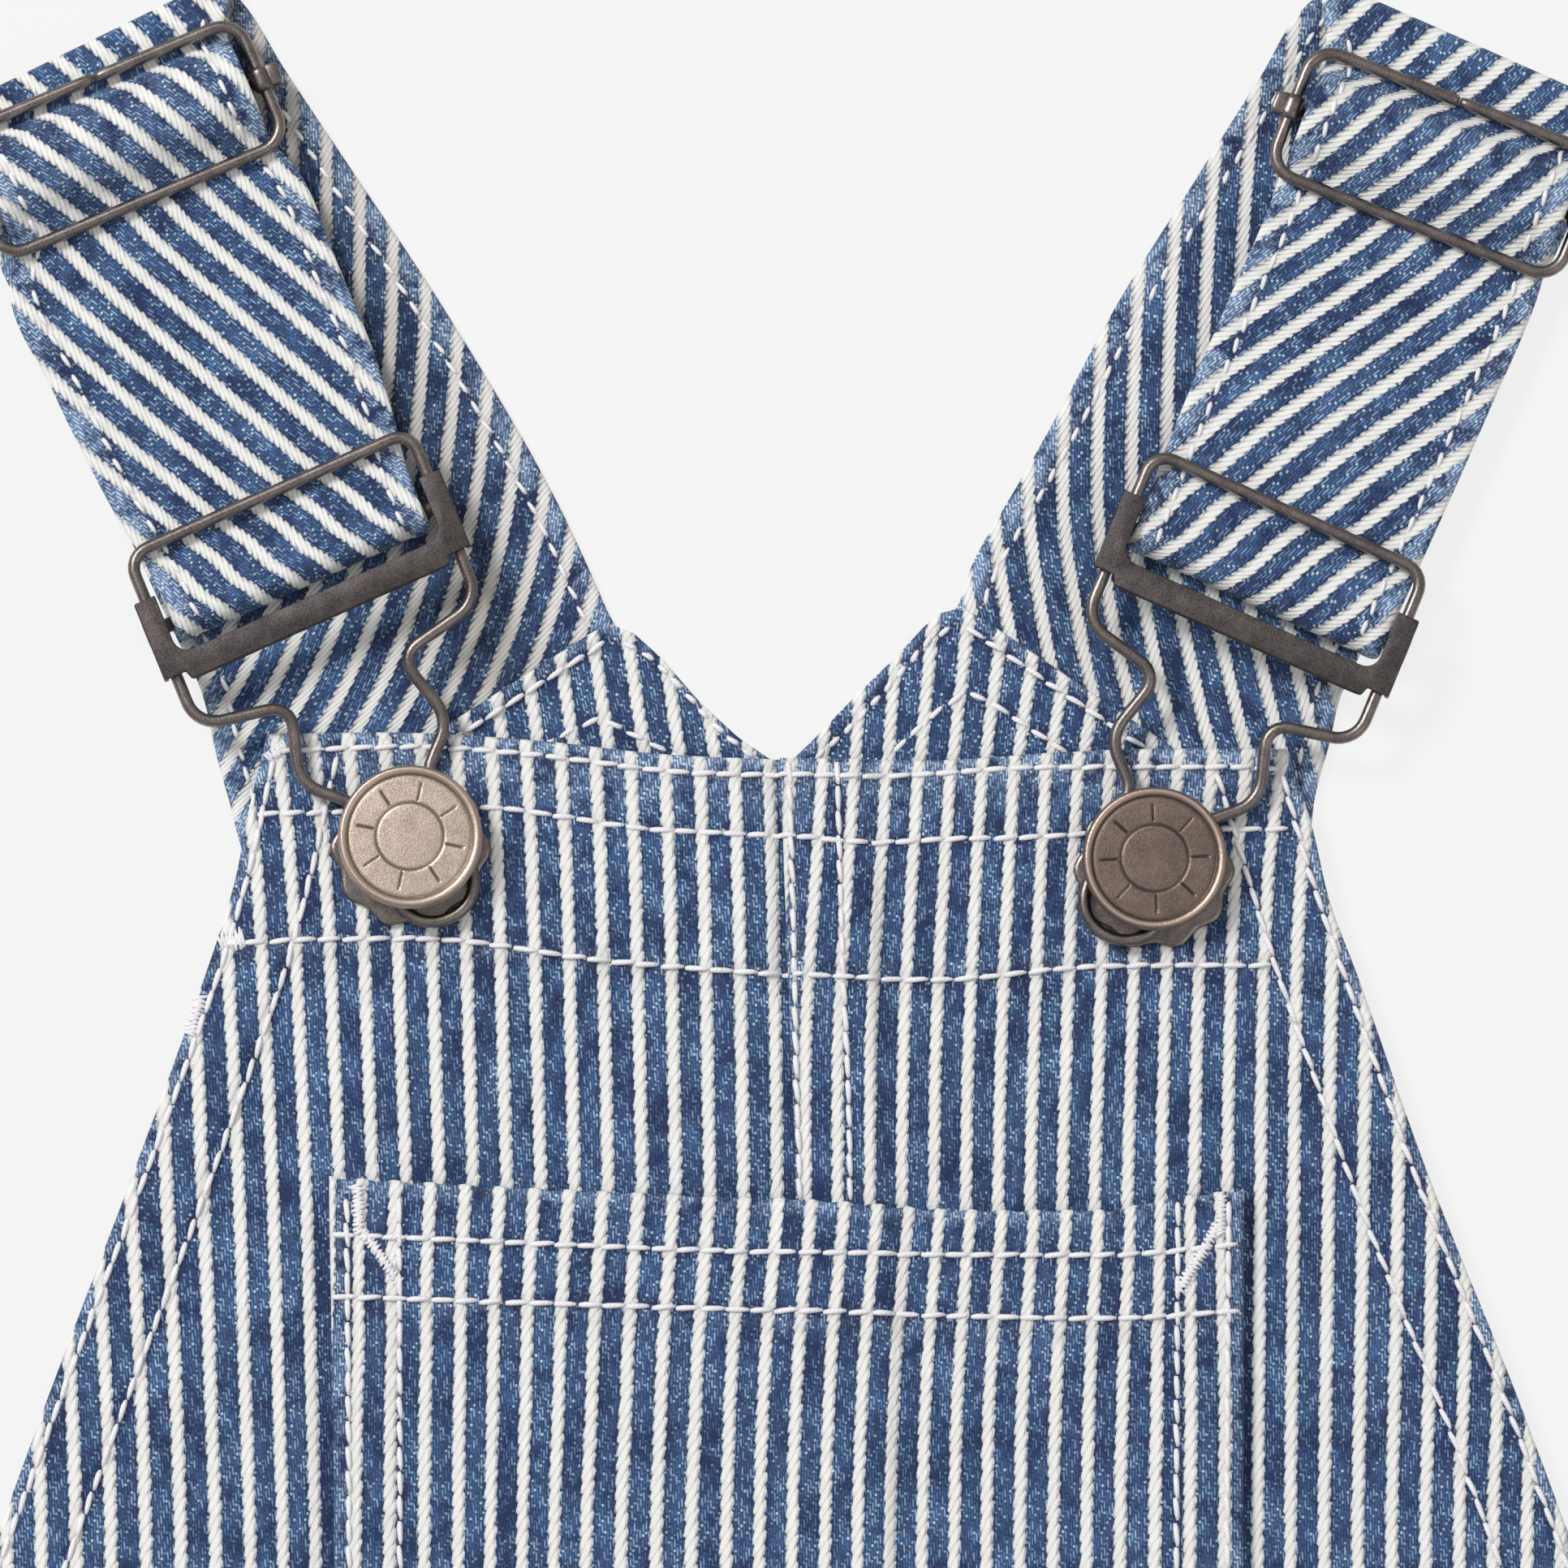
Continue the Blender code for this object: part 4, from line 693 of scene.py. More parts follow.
def frontLevels(side, x, drop):
    cut = frontCut
    outer = sideEdge(side, drop)
    inner = np.where(drop < cut["crotchStart"], lapEdge(drop), crotchEdge(side, drop))
    share = np.clip((x - inner) / (outer - inner), 0, 1)
    bottom = cut["floor"] + np.interp(drop, cut["loftDrop"], cut["loft"]) * np.sin(math.pi * share)
    band = 1 - ease(cut["topBand"] - 0.6, cut["topBand"] + 1.2, drop)
    hem = ease(cut["length"] - cut["hem"] - 1.0, cut["length"] - cut["hem"] + 0.5, drop)
    armhole = 1 - ease(cut["bandEnds"] - 6, cut["bandEnds"] + 2, drop)
    hemSide = ease(-1.0, 0.6, hands[side] * (x - outer) + cut["sideBand"]) * armhole
    extra = cut["turned"] * np.maximum(np.maximum(band, hem), hemSide)
    fromLap = x - lapEdge(drop)
    if side == "left":
        under = ease(-2.5, -0.2, fromLap) * (drop < cut["crotchStart"] - 4)
        bottom = bottom * (1 - under) + cut["floor"] * under
        return bottom, bottom + (cut["ply"] + extra) * (1 - under) + cut["under"] * under
    above = 1 - ease(cut["crotchStart"] - 10, cut["crotchStart"], drop)
    over = (1 - ease(cut["lap"] + 0.3, cut["lap"] + 2.8, fromLap)) * above
    bottom = bottom * (1 - over) + (cut["floor"] + cut["under"] + cut["gap"]) * over
    return bottom, bottom + cut["ply"] + extra


def frontTop(side, x, y):
    bottom, top = frontLevels(side, x, dropAt(x, y))
    lift, shade = seamLift(x, y, rowsOn[side])
    waves = 0.16 * np.sin(x * 0.11 + y * 0.05) * np.sin(y * 0.083 + 1.3) + 0.08 * np.sin(x * 0.37 - y * 0.21)
    # where the pocket lies on it, the cloth is pressed flat
    pressed = ease(-56, -51, x) * (1 - ease(51, 56, x)) * (1 - ease(-56, -50, y)) * ease(-163, -156, y)
    lift = lift + (waves + creaseLift(x, y, creases)) * (1 - 0.8 * pressed)
    # a trough where the cloth dips beside the pocket, with painted shade in it, and painted shade below the third
    # cross row
    trough = (bell(x, 55.3, 0.7) + 0.9 * bell(x, -54.9, 0.8)) * ease(-160, -154, y) * (1 - ease(-52, -48, y))
    away, under, along = toLine(x, y, bibRows["third"])
    below = bell(away, 1.6, 1.5) * (under > 0) * (0.5 + 0.5 * np.sin(along * 0.6 + np.sin(along * 0.23)))
    return bottom, top + np.clip(lift - 0.3 * trough, -0.8, 1.0), np.maximum(shade, 0.75 * trough) + 0.4 * below


def makeFront(side):
    cut, hand = frontCut, hands[side]
    drops = np.concatenate(([0.0, *clothRim[:3]], np.arange(1.2, 112, 1.1), np.arange(112, 702, 3.0),
                            [701.8, 702.3, 702.65, 702.88, 703.0]))
    outer = sideEdge(side, drops)
    tucked = cut["tuck"] * (1 - ease(*cut["tuckEnds"], drops)) if side == "left" else 0.0  # under the lap
    inner = np.where(drops < cut["crotchStart"], lapEdge(drops) + tucked, crotchEdge(side, drops))
    x = inner[:, None] + spread(88, 100.0, clothRim)[None, :] * (outer - inner)[:, None]
    drop = np.repeat(drops[:, None], x.shape[1], 1)
    y = heightAt(x, drop)
    bottom, top, shade = frontTop(side, x, y)
    fromSide, fromInner, fromHem = np.abs(outer[:, None] - x), np.abs(x - inner[:, None]), cut["length"] - drop
    soft = roundOver(drop, 0.8) * roundOver(fromHem, 0.8) * roundOver(fromSide, 0.8) * roundOver(fromInner, 0.7)
    top, bottom = pinched(top, bottom, soft)
    wear = 0.9 * bell(drop, 0.9, 0.9) + 0.8 * bell(fromSide, 0.7, 0.8) + 0.5 * bell(fromHem, 1.0, 1.2)
    wear += 0.9 * bell(fromInner, 0.6, 0.8) * (side == "right")
    wear += 0.25 * bell(drop - cut["topBand"], -0.2, 1.0) + 0.34 * bell(drop, 3.0, 3.2)
    weave = weaveAt(stripeCount(stripeRuns[sided("front", side)], x, y), y)
    piece = addCloth(sided("front", side), f"front_{side}", denimFront, hand > 0, np.stack([x, y, top], -1),
                     np.stack([x, y, bottom], -1), [weave, weave], wearAndShadeAt(wear, shade * 0.8))


for side in hands:
    makeFront(side)
print("fronts made")


# bib pocket

pocketCut = {
    "top": [(-53.8, -47.0), (-44.6, -47.5), (-30.2, -48.3), (0.0, -49.6), (23.7, -50.9), (37.9, -50.9), (45.0, -49.6),
            (54.3, -48.4)],
    "left": -53.7, "right": 54.3, "bottom": 162.0, "corner": 12.0, "hem": 14.5, "thick": 1.2, "level": 3.15,
    "lapRise": 1.25, "turned": 0.6,
    "rowOne": [(-53.2, -53.8), (0.0, -55.9), (37.9, -56.2), (54.0, -54.9)],
    "rowTwo": [(-53.2, -61.1), (0.0, -62.8), (37.9, -63.7), (54.0, -62.8)],
}
pocketRows = [{"line": pocketCut["rowOne"], "ripple": 0.08}, {"line": pocketCut["rowTwo"], "ripple": 0.14}] + [
    {"line": [(top, start), (middle, -94.0), (low, -146.0)], "ripple": ripple}
    for top, middle, low, start, ripple in (
        (-51.6, -51.2, -51.6, -49.5, 0.07), (-45.4, -45.2, -45.6, -49.5, 0.11),
        (52.5, 52.2, 52.4, -49.8, 0.07), (46.5, 46.2, 46.4, -50.0, 0.11))
]
pocketCreases = [
    ([(-34, -66), (-31, -76), (-32, -88)], 4.0, -0.21),
    ([(-12, -67), (-9, -79)], 3.0, 0.18),
    ([(14, -68), (12, -82), (15, -96)], 5.0, 0.24),
    ([(36, -68), (40, -78)], 3.5, -0.18),
    ([(-40, -128), (-10, -134), (22, -131)], 7.0, 0.30),
]


def pocketTopEdge(x):
    return curveThrough(*np.transpose(pocketCut["top"]), x)


def pocketBase(x, y):
    fromLap = x - lapEdge(dropAt(x, y))
    onLap = ease(-3.0, -0.4, fromLap) * (1 - ease(10.0, 12.8, fromLap))
    return pocketCut["level"] + pocketCut["lapRise"] * onLap


def pocketTop(x, y):
    cut, base = pocketCut, pocketBase(x, y)
    lift, shade = seamLift(x, y, pocketRows)
    hem = cut["turned"] * (1 - ease(cut["hem"] - 0.6, cut["hem"] + 1.0, pocketTopEdge(x) - y))
    sideTurn = 0.35 * ease(-1.0, 0.5, np.abs(x) - 45.8)
    waves = 0.08 * np.sin(x * 0.16 + 1.0) * np.sin(y * 0.11)
    lift = lift + waves + creaseLift(x, y, pocketCreases)
    return base, base + cut["thick"] + np.maximum(hem, sideTurn) + lift, shade


def pocketLevel(x, y):
    return pocketTop(x, y)[1]


def makePocket():
    cut, run = pocketCut, stripeRuns["pocket"]
    depths = np.concatenate(([0.0, *clothRim[:3]], np.arange(1.2, 46, 1.1), np.arange(46.0, 109, 2.2),
                             [109.6, 110.2, 110.6]))[:, None]
    x = np.repeat((cut["left"] + spread(100, 108.0, clothRim) * (cut["right"] - cut["left"]))[None, :], len(depths),
                  0)
    # the lower corners are cut off
    chamfer = cut["corner"] - np.minimum(np.minimum(x - cut["left"], cut["right"] - x), cut["corner"])
    bottomY = frontCut["topEdge"] - cut["bottom"] + chamfer * 0.96
    topY = pocketTopEdge(x)
    cords = np.cos(2 * math.pi * stripeCount(run, x, topY))
    y = topY + depths / depths[-1] * (bottomY - topY) + 0.22 * cords * np.exp(-depths / 1.2)
    sway = 0.8 * np.sin(np.clip((-y - 50) / 110, 0, 1) * math.pi)
    x = x + np.where(x < 0, sway, -0.3 * sway) * np.abs(x) / 54
    bottom, top, shade = pocketTop(x, y)
    fromSide, depth = np.minimum(x - x[:, :1], x[:, -1:] - x), topY - y
    top, bottom = pinched(top, bottom, roundOver(depth, 0.8) * roundOver(y - bottomY, 0.8) * roundOver(fromSide, 0.8))
    wear = 0.6 * bell(depth, 0.6, 0.9) + 0.42 * bell(fromSide, 0.9, 0.8)
    wear += 0.5 * bell(fromSide, 1.4, 1.8) * bell(depth, 1.6, 2.0) + 0.2 * bell(depth, cut["hem"], 0.9)
    weave = weaveAt(stripeCount(run, x, y), y)
    piece = addCloth("bibPocket", "bib_pocket", denimFront, True, np.stack([x, y, top], -1),
                     np.stack([x, y, bottom], -1), [weave, weave], wearAndShadeAt(wear, shade * 0.8))


makePocket()
print("pocket made")


# backs

backCut = {
    "neckLeft": [(-0.15, 2.4), (-2.2, 3.6), (-5.6, 6.0), (-10.2, 10.3), (-14.4, 15.2), (-17.8, 18.3), (-20.7, 19.4)],
    "neckRight": [(0.15, 2.4), (3.5, 5.6), (7.8, 10.1), (13.8, 16.0), (16.7, 19.2), (18.5, 20.7), (21.2, 21.4)],
    "seamLeft": [(-20.6, 19.6), (-64.2, -8.5)], "seamRight": [(20.95, 21.6), (62.35, -6.7)],
    "courseLeft": {"lean": 8.2, "repeat": 4.11, "through": (-17.2, 8.3)},
    "courseRight": {"lean": -6.0, "repeat": 3.95, "through": (20.8, 10.3)},
    "ply": 1.2, "inset": 3.0, "lap": 0.1, "lapRise": 0.85,
}
backRows = {
    "left": [
        {"line": [(-1.4, 1.6), (-4.2, 3.8), (-8.6, 7.6), (-13.0, 12.6), (-16.6, 15.9), (-19.6, 17.4)], "ripple": 0.05,
         "pitch": 2.3, "reach": 1.6},
        {"line": [(-21.2, 17.2), (-40.0, 5.0), (-62.0, -9.3)], "ripple": 0.08, "pitch": 2.85, "reach": 2.6},
        {"line": [(-2.0, -5.0), (-12.0, 3.2), (-17.5, 5.8), (-21.8, 8.1), (-24.4, 7.1), (-42.0, -4.4)],
         "ripple": 0.06, "pitch": 2.9, "reach": 2.4},
    ],
    "right": [
        {"line": [(1.6, 1.6), (4.6, 4.0), (9.2, 8.4), (14.6, 14.4), (17.6, 17.8), (20.4, 19.2)], "ripple": 0.05,
         "pitch": 2.3, "reach": 1.6},
        {"line": [(21.6, 19.0), (40.0, 6.4), (60.0, -7.2)], "ripple": 0.08, "pitch": 2.85, "reach": 2.6},
        {"line": [(2.0, -6.0), (8.0, -1.0), (12.7, 3.8), (17.9, 8.6), (21.6, 11.2), (27.1, 8.3), (30.9, 5.7),
                  (44.0, -3.0)], "ripple": 0.06, "pitch": 2.9, "reach": 2.4},
    ],
}


def seamRise(side, x, y):
    # how much of the turned edge lies up on the strap's end
    away, _, along = toLine(x, y, backCut[sided("seam", side)])
    return ease(0.0, 3.0, along) * (1 - ease(0.9, 3.0, away))


def backLevel(side, x, y):
    lift = seamLift(x, y, backRows[side])[0]
    return backCut["ply"] + np.clip(lift, -0.3, 0.12) + backCut["lapRise"] * seamRise(side, x, y)


def makeBack(side):
    cut, hand, seam = backCut, hands[side], backCut[sided("seam", side)]
    neck = alongLine(cut[sided("neck", side)], 0.7)
    neckEnd = abs(neck[-1, 0])
    spots = alongLine(seam, 1.0)
    top = np.concatenate([neck, spots[np.abs(spots[:, 0]) > neckEnd + 0.4], [seam[1]]])
    # the seam's edge is turned under and laps over the strap's end
    lapped = ease(0.0, 2.5, np.abs(top[:, 0]) - neckEnd)
    seamLine = np.subtract(*seam[::-1])
    outward = hand * np.array([-seamLine[1], seamLine[0]]) / np.hypot(*seamLine)
    edgeAt = top + lapped[:, None] * outward * cut["lap"]
    outerShares = np.abs(top[:, 0]) / abs(top[-1, 0])
    evenShares = np.linspace(0, 1, len(top))
    inset = [0.0, 0.12, 0.35, 0.7, 1.2, 1.8, 2.5, 3.3, 4.4]
    rows = [edgeAt - [0, d] for d in inset]
    for drop in np.concatenate((np.arange(12, 112, 2.0), np.arange(112, 702, 3.5), [701.6, 702.4, 703.0])):
        outer = sideEdge(side, drop) - hand * cut["inset"] * (1 - ease(150, frontCut["bandEnds"], drop))
        inner = hand * 0.15 if drop < frontCut["crotchStart"] else crotchEdge(side, drop)
        x = inner + (outerShares + ease(20, 120, drop) * (evenShares - outerShares)) * (outer - inner)
        y = heightAt(x, drop)
        below, reach = drop - 8, ease(0, 46, drop - 8)  # the rows straighten out below the neck
        y = y * reach + np.minimum(edgeAt[:, 1] - inset[-1] - 0.55 * below, y + 30 * (1 - reach)) * (1 - reach)
        rows.append(np.stack([x, y], -1))
    x, y = np.moveaxis(np.array(rows), -1, 0)
    lift, shade = seamLift(x, y, backRows[side])
    raised, upper = seamRise(side, x, y), y > -14
    topZ = cut["ply"] + np.where(upper, np.clip(lift, -0.3, 0.12) + cut["lapRise"] * raised, 0.0)
    bottomZ = np.where(upper, (cut["ply"] + 0.15) * ease(0.55, 1.0, raised), 0.0)
    fromTop = np.interp(np.arange(len(x)), np.arange(len(inset) + 1), inset + [9.0])[:, None] + 0 * x
    fromSide = np.minimum(np.hypot(x - x[:, -1:], y - y[:, -1:]), np.abs(x - x[:, :1]) + 0.6)
    fromHem = frontCut["length"] - (frontCut["topEdge"] - y)
    soft = roundOver(fromTop, 0.7) * roundOver(fromSide, 0.7) * roundOver(fromHem, 0.7)
    topZ, bottomZ = pinched(topZ, bottomZ, soft, 0.15)
    count = leanedCount(cut[sided("course", side)], x, y)
    if side == "right":
        count = count - 0.0011 * (x - 20) * (y - 10)
    below = ease(0, 60, -y)
    weave = weaveAt(count * (1 - below) + (x / repeat + 0.2) * below, y)
    piece = addCloth(sided("back", side), f"back_{side}", denimBack, hand > 0, np.stack([x, y, topZ], -1),
                     np.stack([x, y, bottomZ], -1), [weave, weave], wearAndShadeAt(0.55 * bell(fromTop, 0.7, 0.8),
                                                                           shade * 0.8))


for side in hands:
    makeBack(side)
print("backs made")


# straps and their metal: places by side

sides = {
    "left": {
        "paintedShadow": ((-63.2, 84.0), (-30.0, 5.5)), "paintedShadowDepth": 0.7, "button": (-44.2, -6.8), "buckle": (-43.84, -6.64),
        "buckleLean": 24.2, "wireHalf": 18.3,
        "slider": (-79.0, 77.06), "sliderLean": 23.0, "foldInner": (-66.9, 97.3), "foldOuter": (-101.6, 80.0),
        "backInner": [(-20.4, 19.9), (-22.8, 25.2), (-25.8, 31.7), (-29.1, 38.1), (-32.6, 44.3), (-41.8, 59.4),
                      (-51.1, 73.4), (-59.7, 86.4), (-65.0, 94.7)],
        "backOuter": [(-64.0, -8.2), (-65.7, -2.2), (-67.3, 3.5), (-69.2, 11.4), (-73.0, 19.5), (-81.8, 38.2),
                      (-90.3, 55.8), (-97.4, 70.9), (-100.7, 77.8)],
        "stretch": [(0.0, 18.0, 18.9, 0.0), (0.3, 18.2, 18.9, 0.0), (0.55, 18.1, 18.2, 0.1), (0.72, 17.4, 17.4, 0.45),
                    (0.86, 16.5, 16.5, 1.2)],
        "frontCourse": {"lean": 48.6, "repeat": 4.093, "through": (-67.3, 52.2)},
        "slip": [(-22.4, -4.4, 1.0), (-20.8, 0.4, 0.96), (-20.0, 0.6, 0.935), (-19.3, -0.4, 0.935),
                 (-18.7, -1.2, 0.935), (-18.0, -1.15, 0.935), (-17.3, -0.75, 0.935), (-16.0, -0.35, 0.935),
                 (-14.7, -0.2, 0.935), (-13.5, -0.4, 0.94), (-12.0, -0.5, 0.95), (-9.0, -0.75, 0.985),
                 (-5.0, -0.4, 1.0), (-2.0, -1.2, 1.025), (4.0, -1.6, 1.015), (13.0, -1.2, 1.0), (23.0, -0.75, 1.0),
                 (32.0, -0.9, 1.03), (37.0, -1.7, 1.01), (39.5, -2.4, 1.01), (41.5, -1.7, 1.01), (43.5, -0.4, 1.0)],
    },
    "right": {
        "paintedShadow": ((61.2, 80.0), (29.0, 0.0)), "paintedShadowDepth": 0.15, "button": (43.8, -9.4), "buckle": (42.68, -8.84),
        "buckleLean": 24.3, "wireHalf": 17.6,
        "slider": (77.5, 74.15), "sliderLean": 21.4, "foldInner": (64.8, 96.9), "foldOuter": (100.4, 80.9),
        "backInner": [(20.8, 21.9), (21.8, 25.2), (23.5, 28.8), (27.6, 35.8), (31.7, 43.0), (39.7, 57.9),
                      (48.7, 72.3), (56.9, 85.4), (62.6, 94.2)],
        "backOuter": [(62.2, -6.4), (63.0, -1.2), (64.6, 4.6), (66.2, 11.0), (69.8, 18.4), (78.8, 36.9), (87.8, 55.4),
                      (95.4, 71.0), (99.4, 79.0)],
        "stretch": [(0.0, 16.6, 17.1, 0.0), (0.3, 16.7, 17.0, 0.0), (0.55, 16.8, 16.8, 0.1), (0.72, 16.7, 16.6, 0.45),
                    (0.86, 16.5, 16.5, 1.2)],
        "frontCourse": {"lean": -55.2, "repeat": 3.929, "through": (68.8, 50.9)},
        "slip": [(-23.5, -0.5, 1.06), (-21.5, -1.0, 1.06), (-20.0, -1.8, 1.06), (-18.7, -3.05, 1.055),
                 (-18.0, -2.6, 1.05), (-17.3, -2.1, 1.05), (-16.0, -1.1, 1.05), (-14.5, -0.6, 1.055),
                 (-12.0, -0.3, 1.06), (-6.4, 0.1, 1.06), (-1.5, 0.35, 1.03), (7.0, 0.6, 1.0), (15.0, 1.15, 1.0),
                 (21.0, 1.4, 1.0), (27.0, 2.2, 1.01), (32.5, 3.4, 1.04), (38.0, 3.2, 1.07), (40.5, 4.2, 1.1),
                 (43.5, 6.7, 1.1)],
    },
}
strapCut = {"tuck": 1.1, "ply": 1.3, "end": 1.0, "gap": 0.3, "fold": 1.15, "turnHalf": 16.3, "edgeRow": 3.0,
            # up from the bar, how far it has risen over the loop, half its width
            "overBar": [(7.95, 0.0, 16.9), (6.5, 0.02, 16.5), (5.0, 0.36, 16.6), (3.5, 0.8, 16.6), (1.8, 1.0, 16.6),
                        (0.0, 1.02, 16.6), (-1.8, 0.97, 16.6), (-3.8, 0.66, 16.6), (-5.2, 0.28, 16.6),
                        (-6.6, 0.01, 16.5), (-7.95, 0.0, 16.8)]}
sliderMake = {"halfWidth": 18.3, "halfHeight": 7.95, "corner": 3.1, "wire": 0.74, "level": 5.2, "bar": 0.8,
              "barDrop": 1.0, "barShort": 1.15, "sleeve": 1.34, "sleeveHalf": 1.5, "play": 0.25}
buckleMake = {"wire": 0.73, "level": 6.3, "buttonLevel": 5.08, "slope": (9.0, 25.0), "barUp": 35.2, "bar": 0.9,
              "barLevel": 4.1,
              "corners": [(4.8, -10.5, 4.6), (4.8, 6.7, 3.0), (9.7, 11.3, 4.4), (7.0, 20.3, 2.4)],
              "shoulder": (22.5, 3.6), "top": (44.4, 2.5), "pull": 0.034, "pullFrom": 14.0,
              "plateBeyond": 1.45, "plateArm": 1.2, "notch": 1.6, "plateEnds": 28.8, "plateLow": 27.7,
              "plateBar": 31.0,
              "plateTop": 38.6, "plateCorner": 1.8, "plateThick": 0.6}


def pulled(side, up):
    # the strap draws the buckle's top a little towards the middle
    return -hands[side] * buckleMake["pull"] * np.maximum(np.asarray(up, float) - buckleMake["pullFrom"], 0.0)


def leaned(hand, lean, origin, across, up):
    angle = math.radians(lean) * hand
    return np.array([origin[0] + across * math.cos(angle) + up * math.sin(angle),
                     origin[1] - across * math.sin(angle) + up * math.cos(angle)])


def strapRungs(side):
    # rungs over the strap's whole way: inner end, outer end, level, how far it has turned over, ply and part
    here, hand, rungs = sides[side], hands[side], []
    ply, end, gap = strapCut["ply"], strapCut["end"], strapCut["gap"]

    def rung(inner, outer, level, tilt, part, thick=ply):
        rungs.append((np.array([*inner, level], float), np.array([*outer, level], float), tilt, thick, part))

    def square(lean, origin, halves, up, *rest, shift=0.0):
        # a rung square to a leaning line
        inner = leaned(hand, lean, origin, shift - hand * halves[0], up)
        rung(inner, leaned(hand, lean, origin, shift + hand * halves[1], up), *rest)

    # the strap's end is sewn in under the back's turned edge
    tuck = np.array([-hand * 0.54, -0.84]) * strapCut["tuck"]
    rung(np.add(here["backInner"][0], tuck), np.add(here["backOuter"][0], tuck), ply / 2, 0.0, "back")
    for inner, outer in zip(here["backInner"], here["backOuter"]):
        rung(inner, outer, ply / 2, 0.0, "back")
    line = np.subtract(here["foldOuter"], here["foldInner"])
    normal = np.array([-line[1], line[0]]) / np.hypot(*line) * hand
    for step in range(7):
        turn = math.radians(-90 + 30 * step)
        shift = normal * (strapCut["fold"] * (math.cos(turn) - 1) - ply / 2)
        rung(here["foldInner"] + shift, here["foldOuter"] + shift,
             ply / 2 + strapCut["fold"] * (1 + math.sin(turn)), 30.0 * step, "fold")

    slider, lean = here["slider"], here["sliderLean"]
    underWire = sliderMake["level"] - sliderMake["wire"] - sliderMake["play"] - ply / 2
    barLevel = sliderMake["level"] - sliderMake["barDrop"]
    overLoop = barLevel + sliderMake["bar"] + sliderMake["play"] + end + gap + ply / 2
    for up, share, half in strapCut["overBar"]:
        square(lean, slider, (half, half), up, underWire + share * (overLoop - underWire), 180.0, "slider")

    buckle, buckleLean = here["buckle"], here["buckleLean"]
    layLevel = frontCut["floor"] + end + gap + ply / 2
    turnRadius = buckleMake["bar"] + sliderMake["play"] + ply / 2
    pull = float(pulled(side, buckleMake["barUp"]))
    barMid = leaned(hand, buckleLean, buckle, pull, buckleMake["barUp"])
    sliderLow = leaned(hand, lean, slider, 0.0, -11.0)
    for share, inner, outer, lift in here["stretch"]:
        mid = sliderLow + share * (barMid - sliderLow)
        square(lean + share * (buckleLean - lean), mid, (inner, outer), 0, layLevel + lift, 180.0, "front")
    halves = [strapCut["turnHalf"]] * 2
    for step in range(9):
        turn = math.radians(90 + 22.5 * step)
        square(buckleLean, buckle, halves, buckleMake["barUp"] + turnRadius * math.cos(turn),
               buckleMake["barLevel"] + turnRadius * math.sin(turn), 180 + 22.5 * step, "turn", shift=pull)
    for share, thick in ((0.14, ply), (0.3, end), (0.6, end)):
        mid = barMid + share * (sliderLow - barMid)
        square(buckleLean + share * (lean - buckleLean), mid, halves, 0, frontCut["floor"] + thick / 2, 360.0,
               "return", thick)
    loop = sliderMake["bar"] + sliderMake["play"] + end / 2
    underLevel = frontCut["floor"] + end / 2
    for up, level in ((-10.0, underLevel), (-6.5, underLevel + 0.15), (-3.0, barLevel - loop)):
        square(lean, slider, halves, up, level, 360.0, "return", end)
    for step in range(9):
        turn = math.radians(-90 + 22.5 * step)
        square(lean, slider, halves, loop * math.cos(turn), barLevel + loop * math.sin(turn), 360 + 22.5 * step,
               "return", end)
    return rungs


def strapRibbon(side):
    # the rungs eased into one ribbon, with the way along it, each face's direction and where each part starts
    inner, outer, tilt, thick, parts = (np.array(column) for column in zip(*strapRungs(side)))
    bends = np.abs(np.diff(tilt))
    steps = np.linalg.norm(np.diff((inner + outer) / 2, axis=0), axis=1)
    way = np.concatenate(([0.0], np.cumsum(np.maximum(steps, bends / 180 * 1.2 * 0.4))))
    marks = []
    for start, end, bend in zip(way[:-1], way[1:], bends):
        pieces = max(int((end - start) / 1.1), 3 if bend > 1 else 1)
        marks += [start + (end - start) * (k + 1) / pieces for k in range(pieces)]
    ends = [way[-1] - short for short in (0.6, 0.25, 0.08, 0)]
    marks = np.array([0.0, *clothRim[:3]] + [m for m in marks if 0.9 < m < way[-1] - 0.9] + ends)
    inner, outer = (np.stack([curveThrough(way, rows[:, k], marks) for k in range(3)], -1) for rows in (inner, outer))
    starts = {part: way[np.argmax(parts == part)] for part in parts}
    return {"inner": inner, "outer": outer, "width": np.linalg.norm((outer - inner)[:, :2], axis=1),
            "tilt": np.interp(marks, way, tilt), "thick": np.interp(marks, way, thick), "way": marks,
            "starts": starts, "foldEnds": way[np.flatnonzero(parts == "fold")[-1]]}


def strapFeel(way, share, width):
    # relief on one face: edge rolls, the groove of each edge row, slack and gathers
    edge = np.minimum(share * width, width - share * width)
    groove = bell(edge, strapCut["edgeRow"], 0.5)
    gather = np.sin(way * 1.3 + 2.0 * (share > 0.5) + 0.8 * np.sin(way * 0.27)) * bell(edge, strapCut["edgeRow"], 2.2)
    slack = 0.12 * np.sin(way * 0.21 + 5 * share) * np.sin(share * math.pi)
    return -0.2 * groove + 0.09 * gather + 0.12 * bell(edge, 1.5, 0.9) + slack, groove


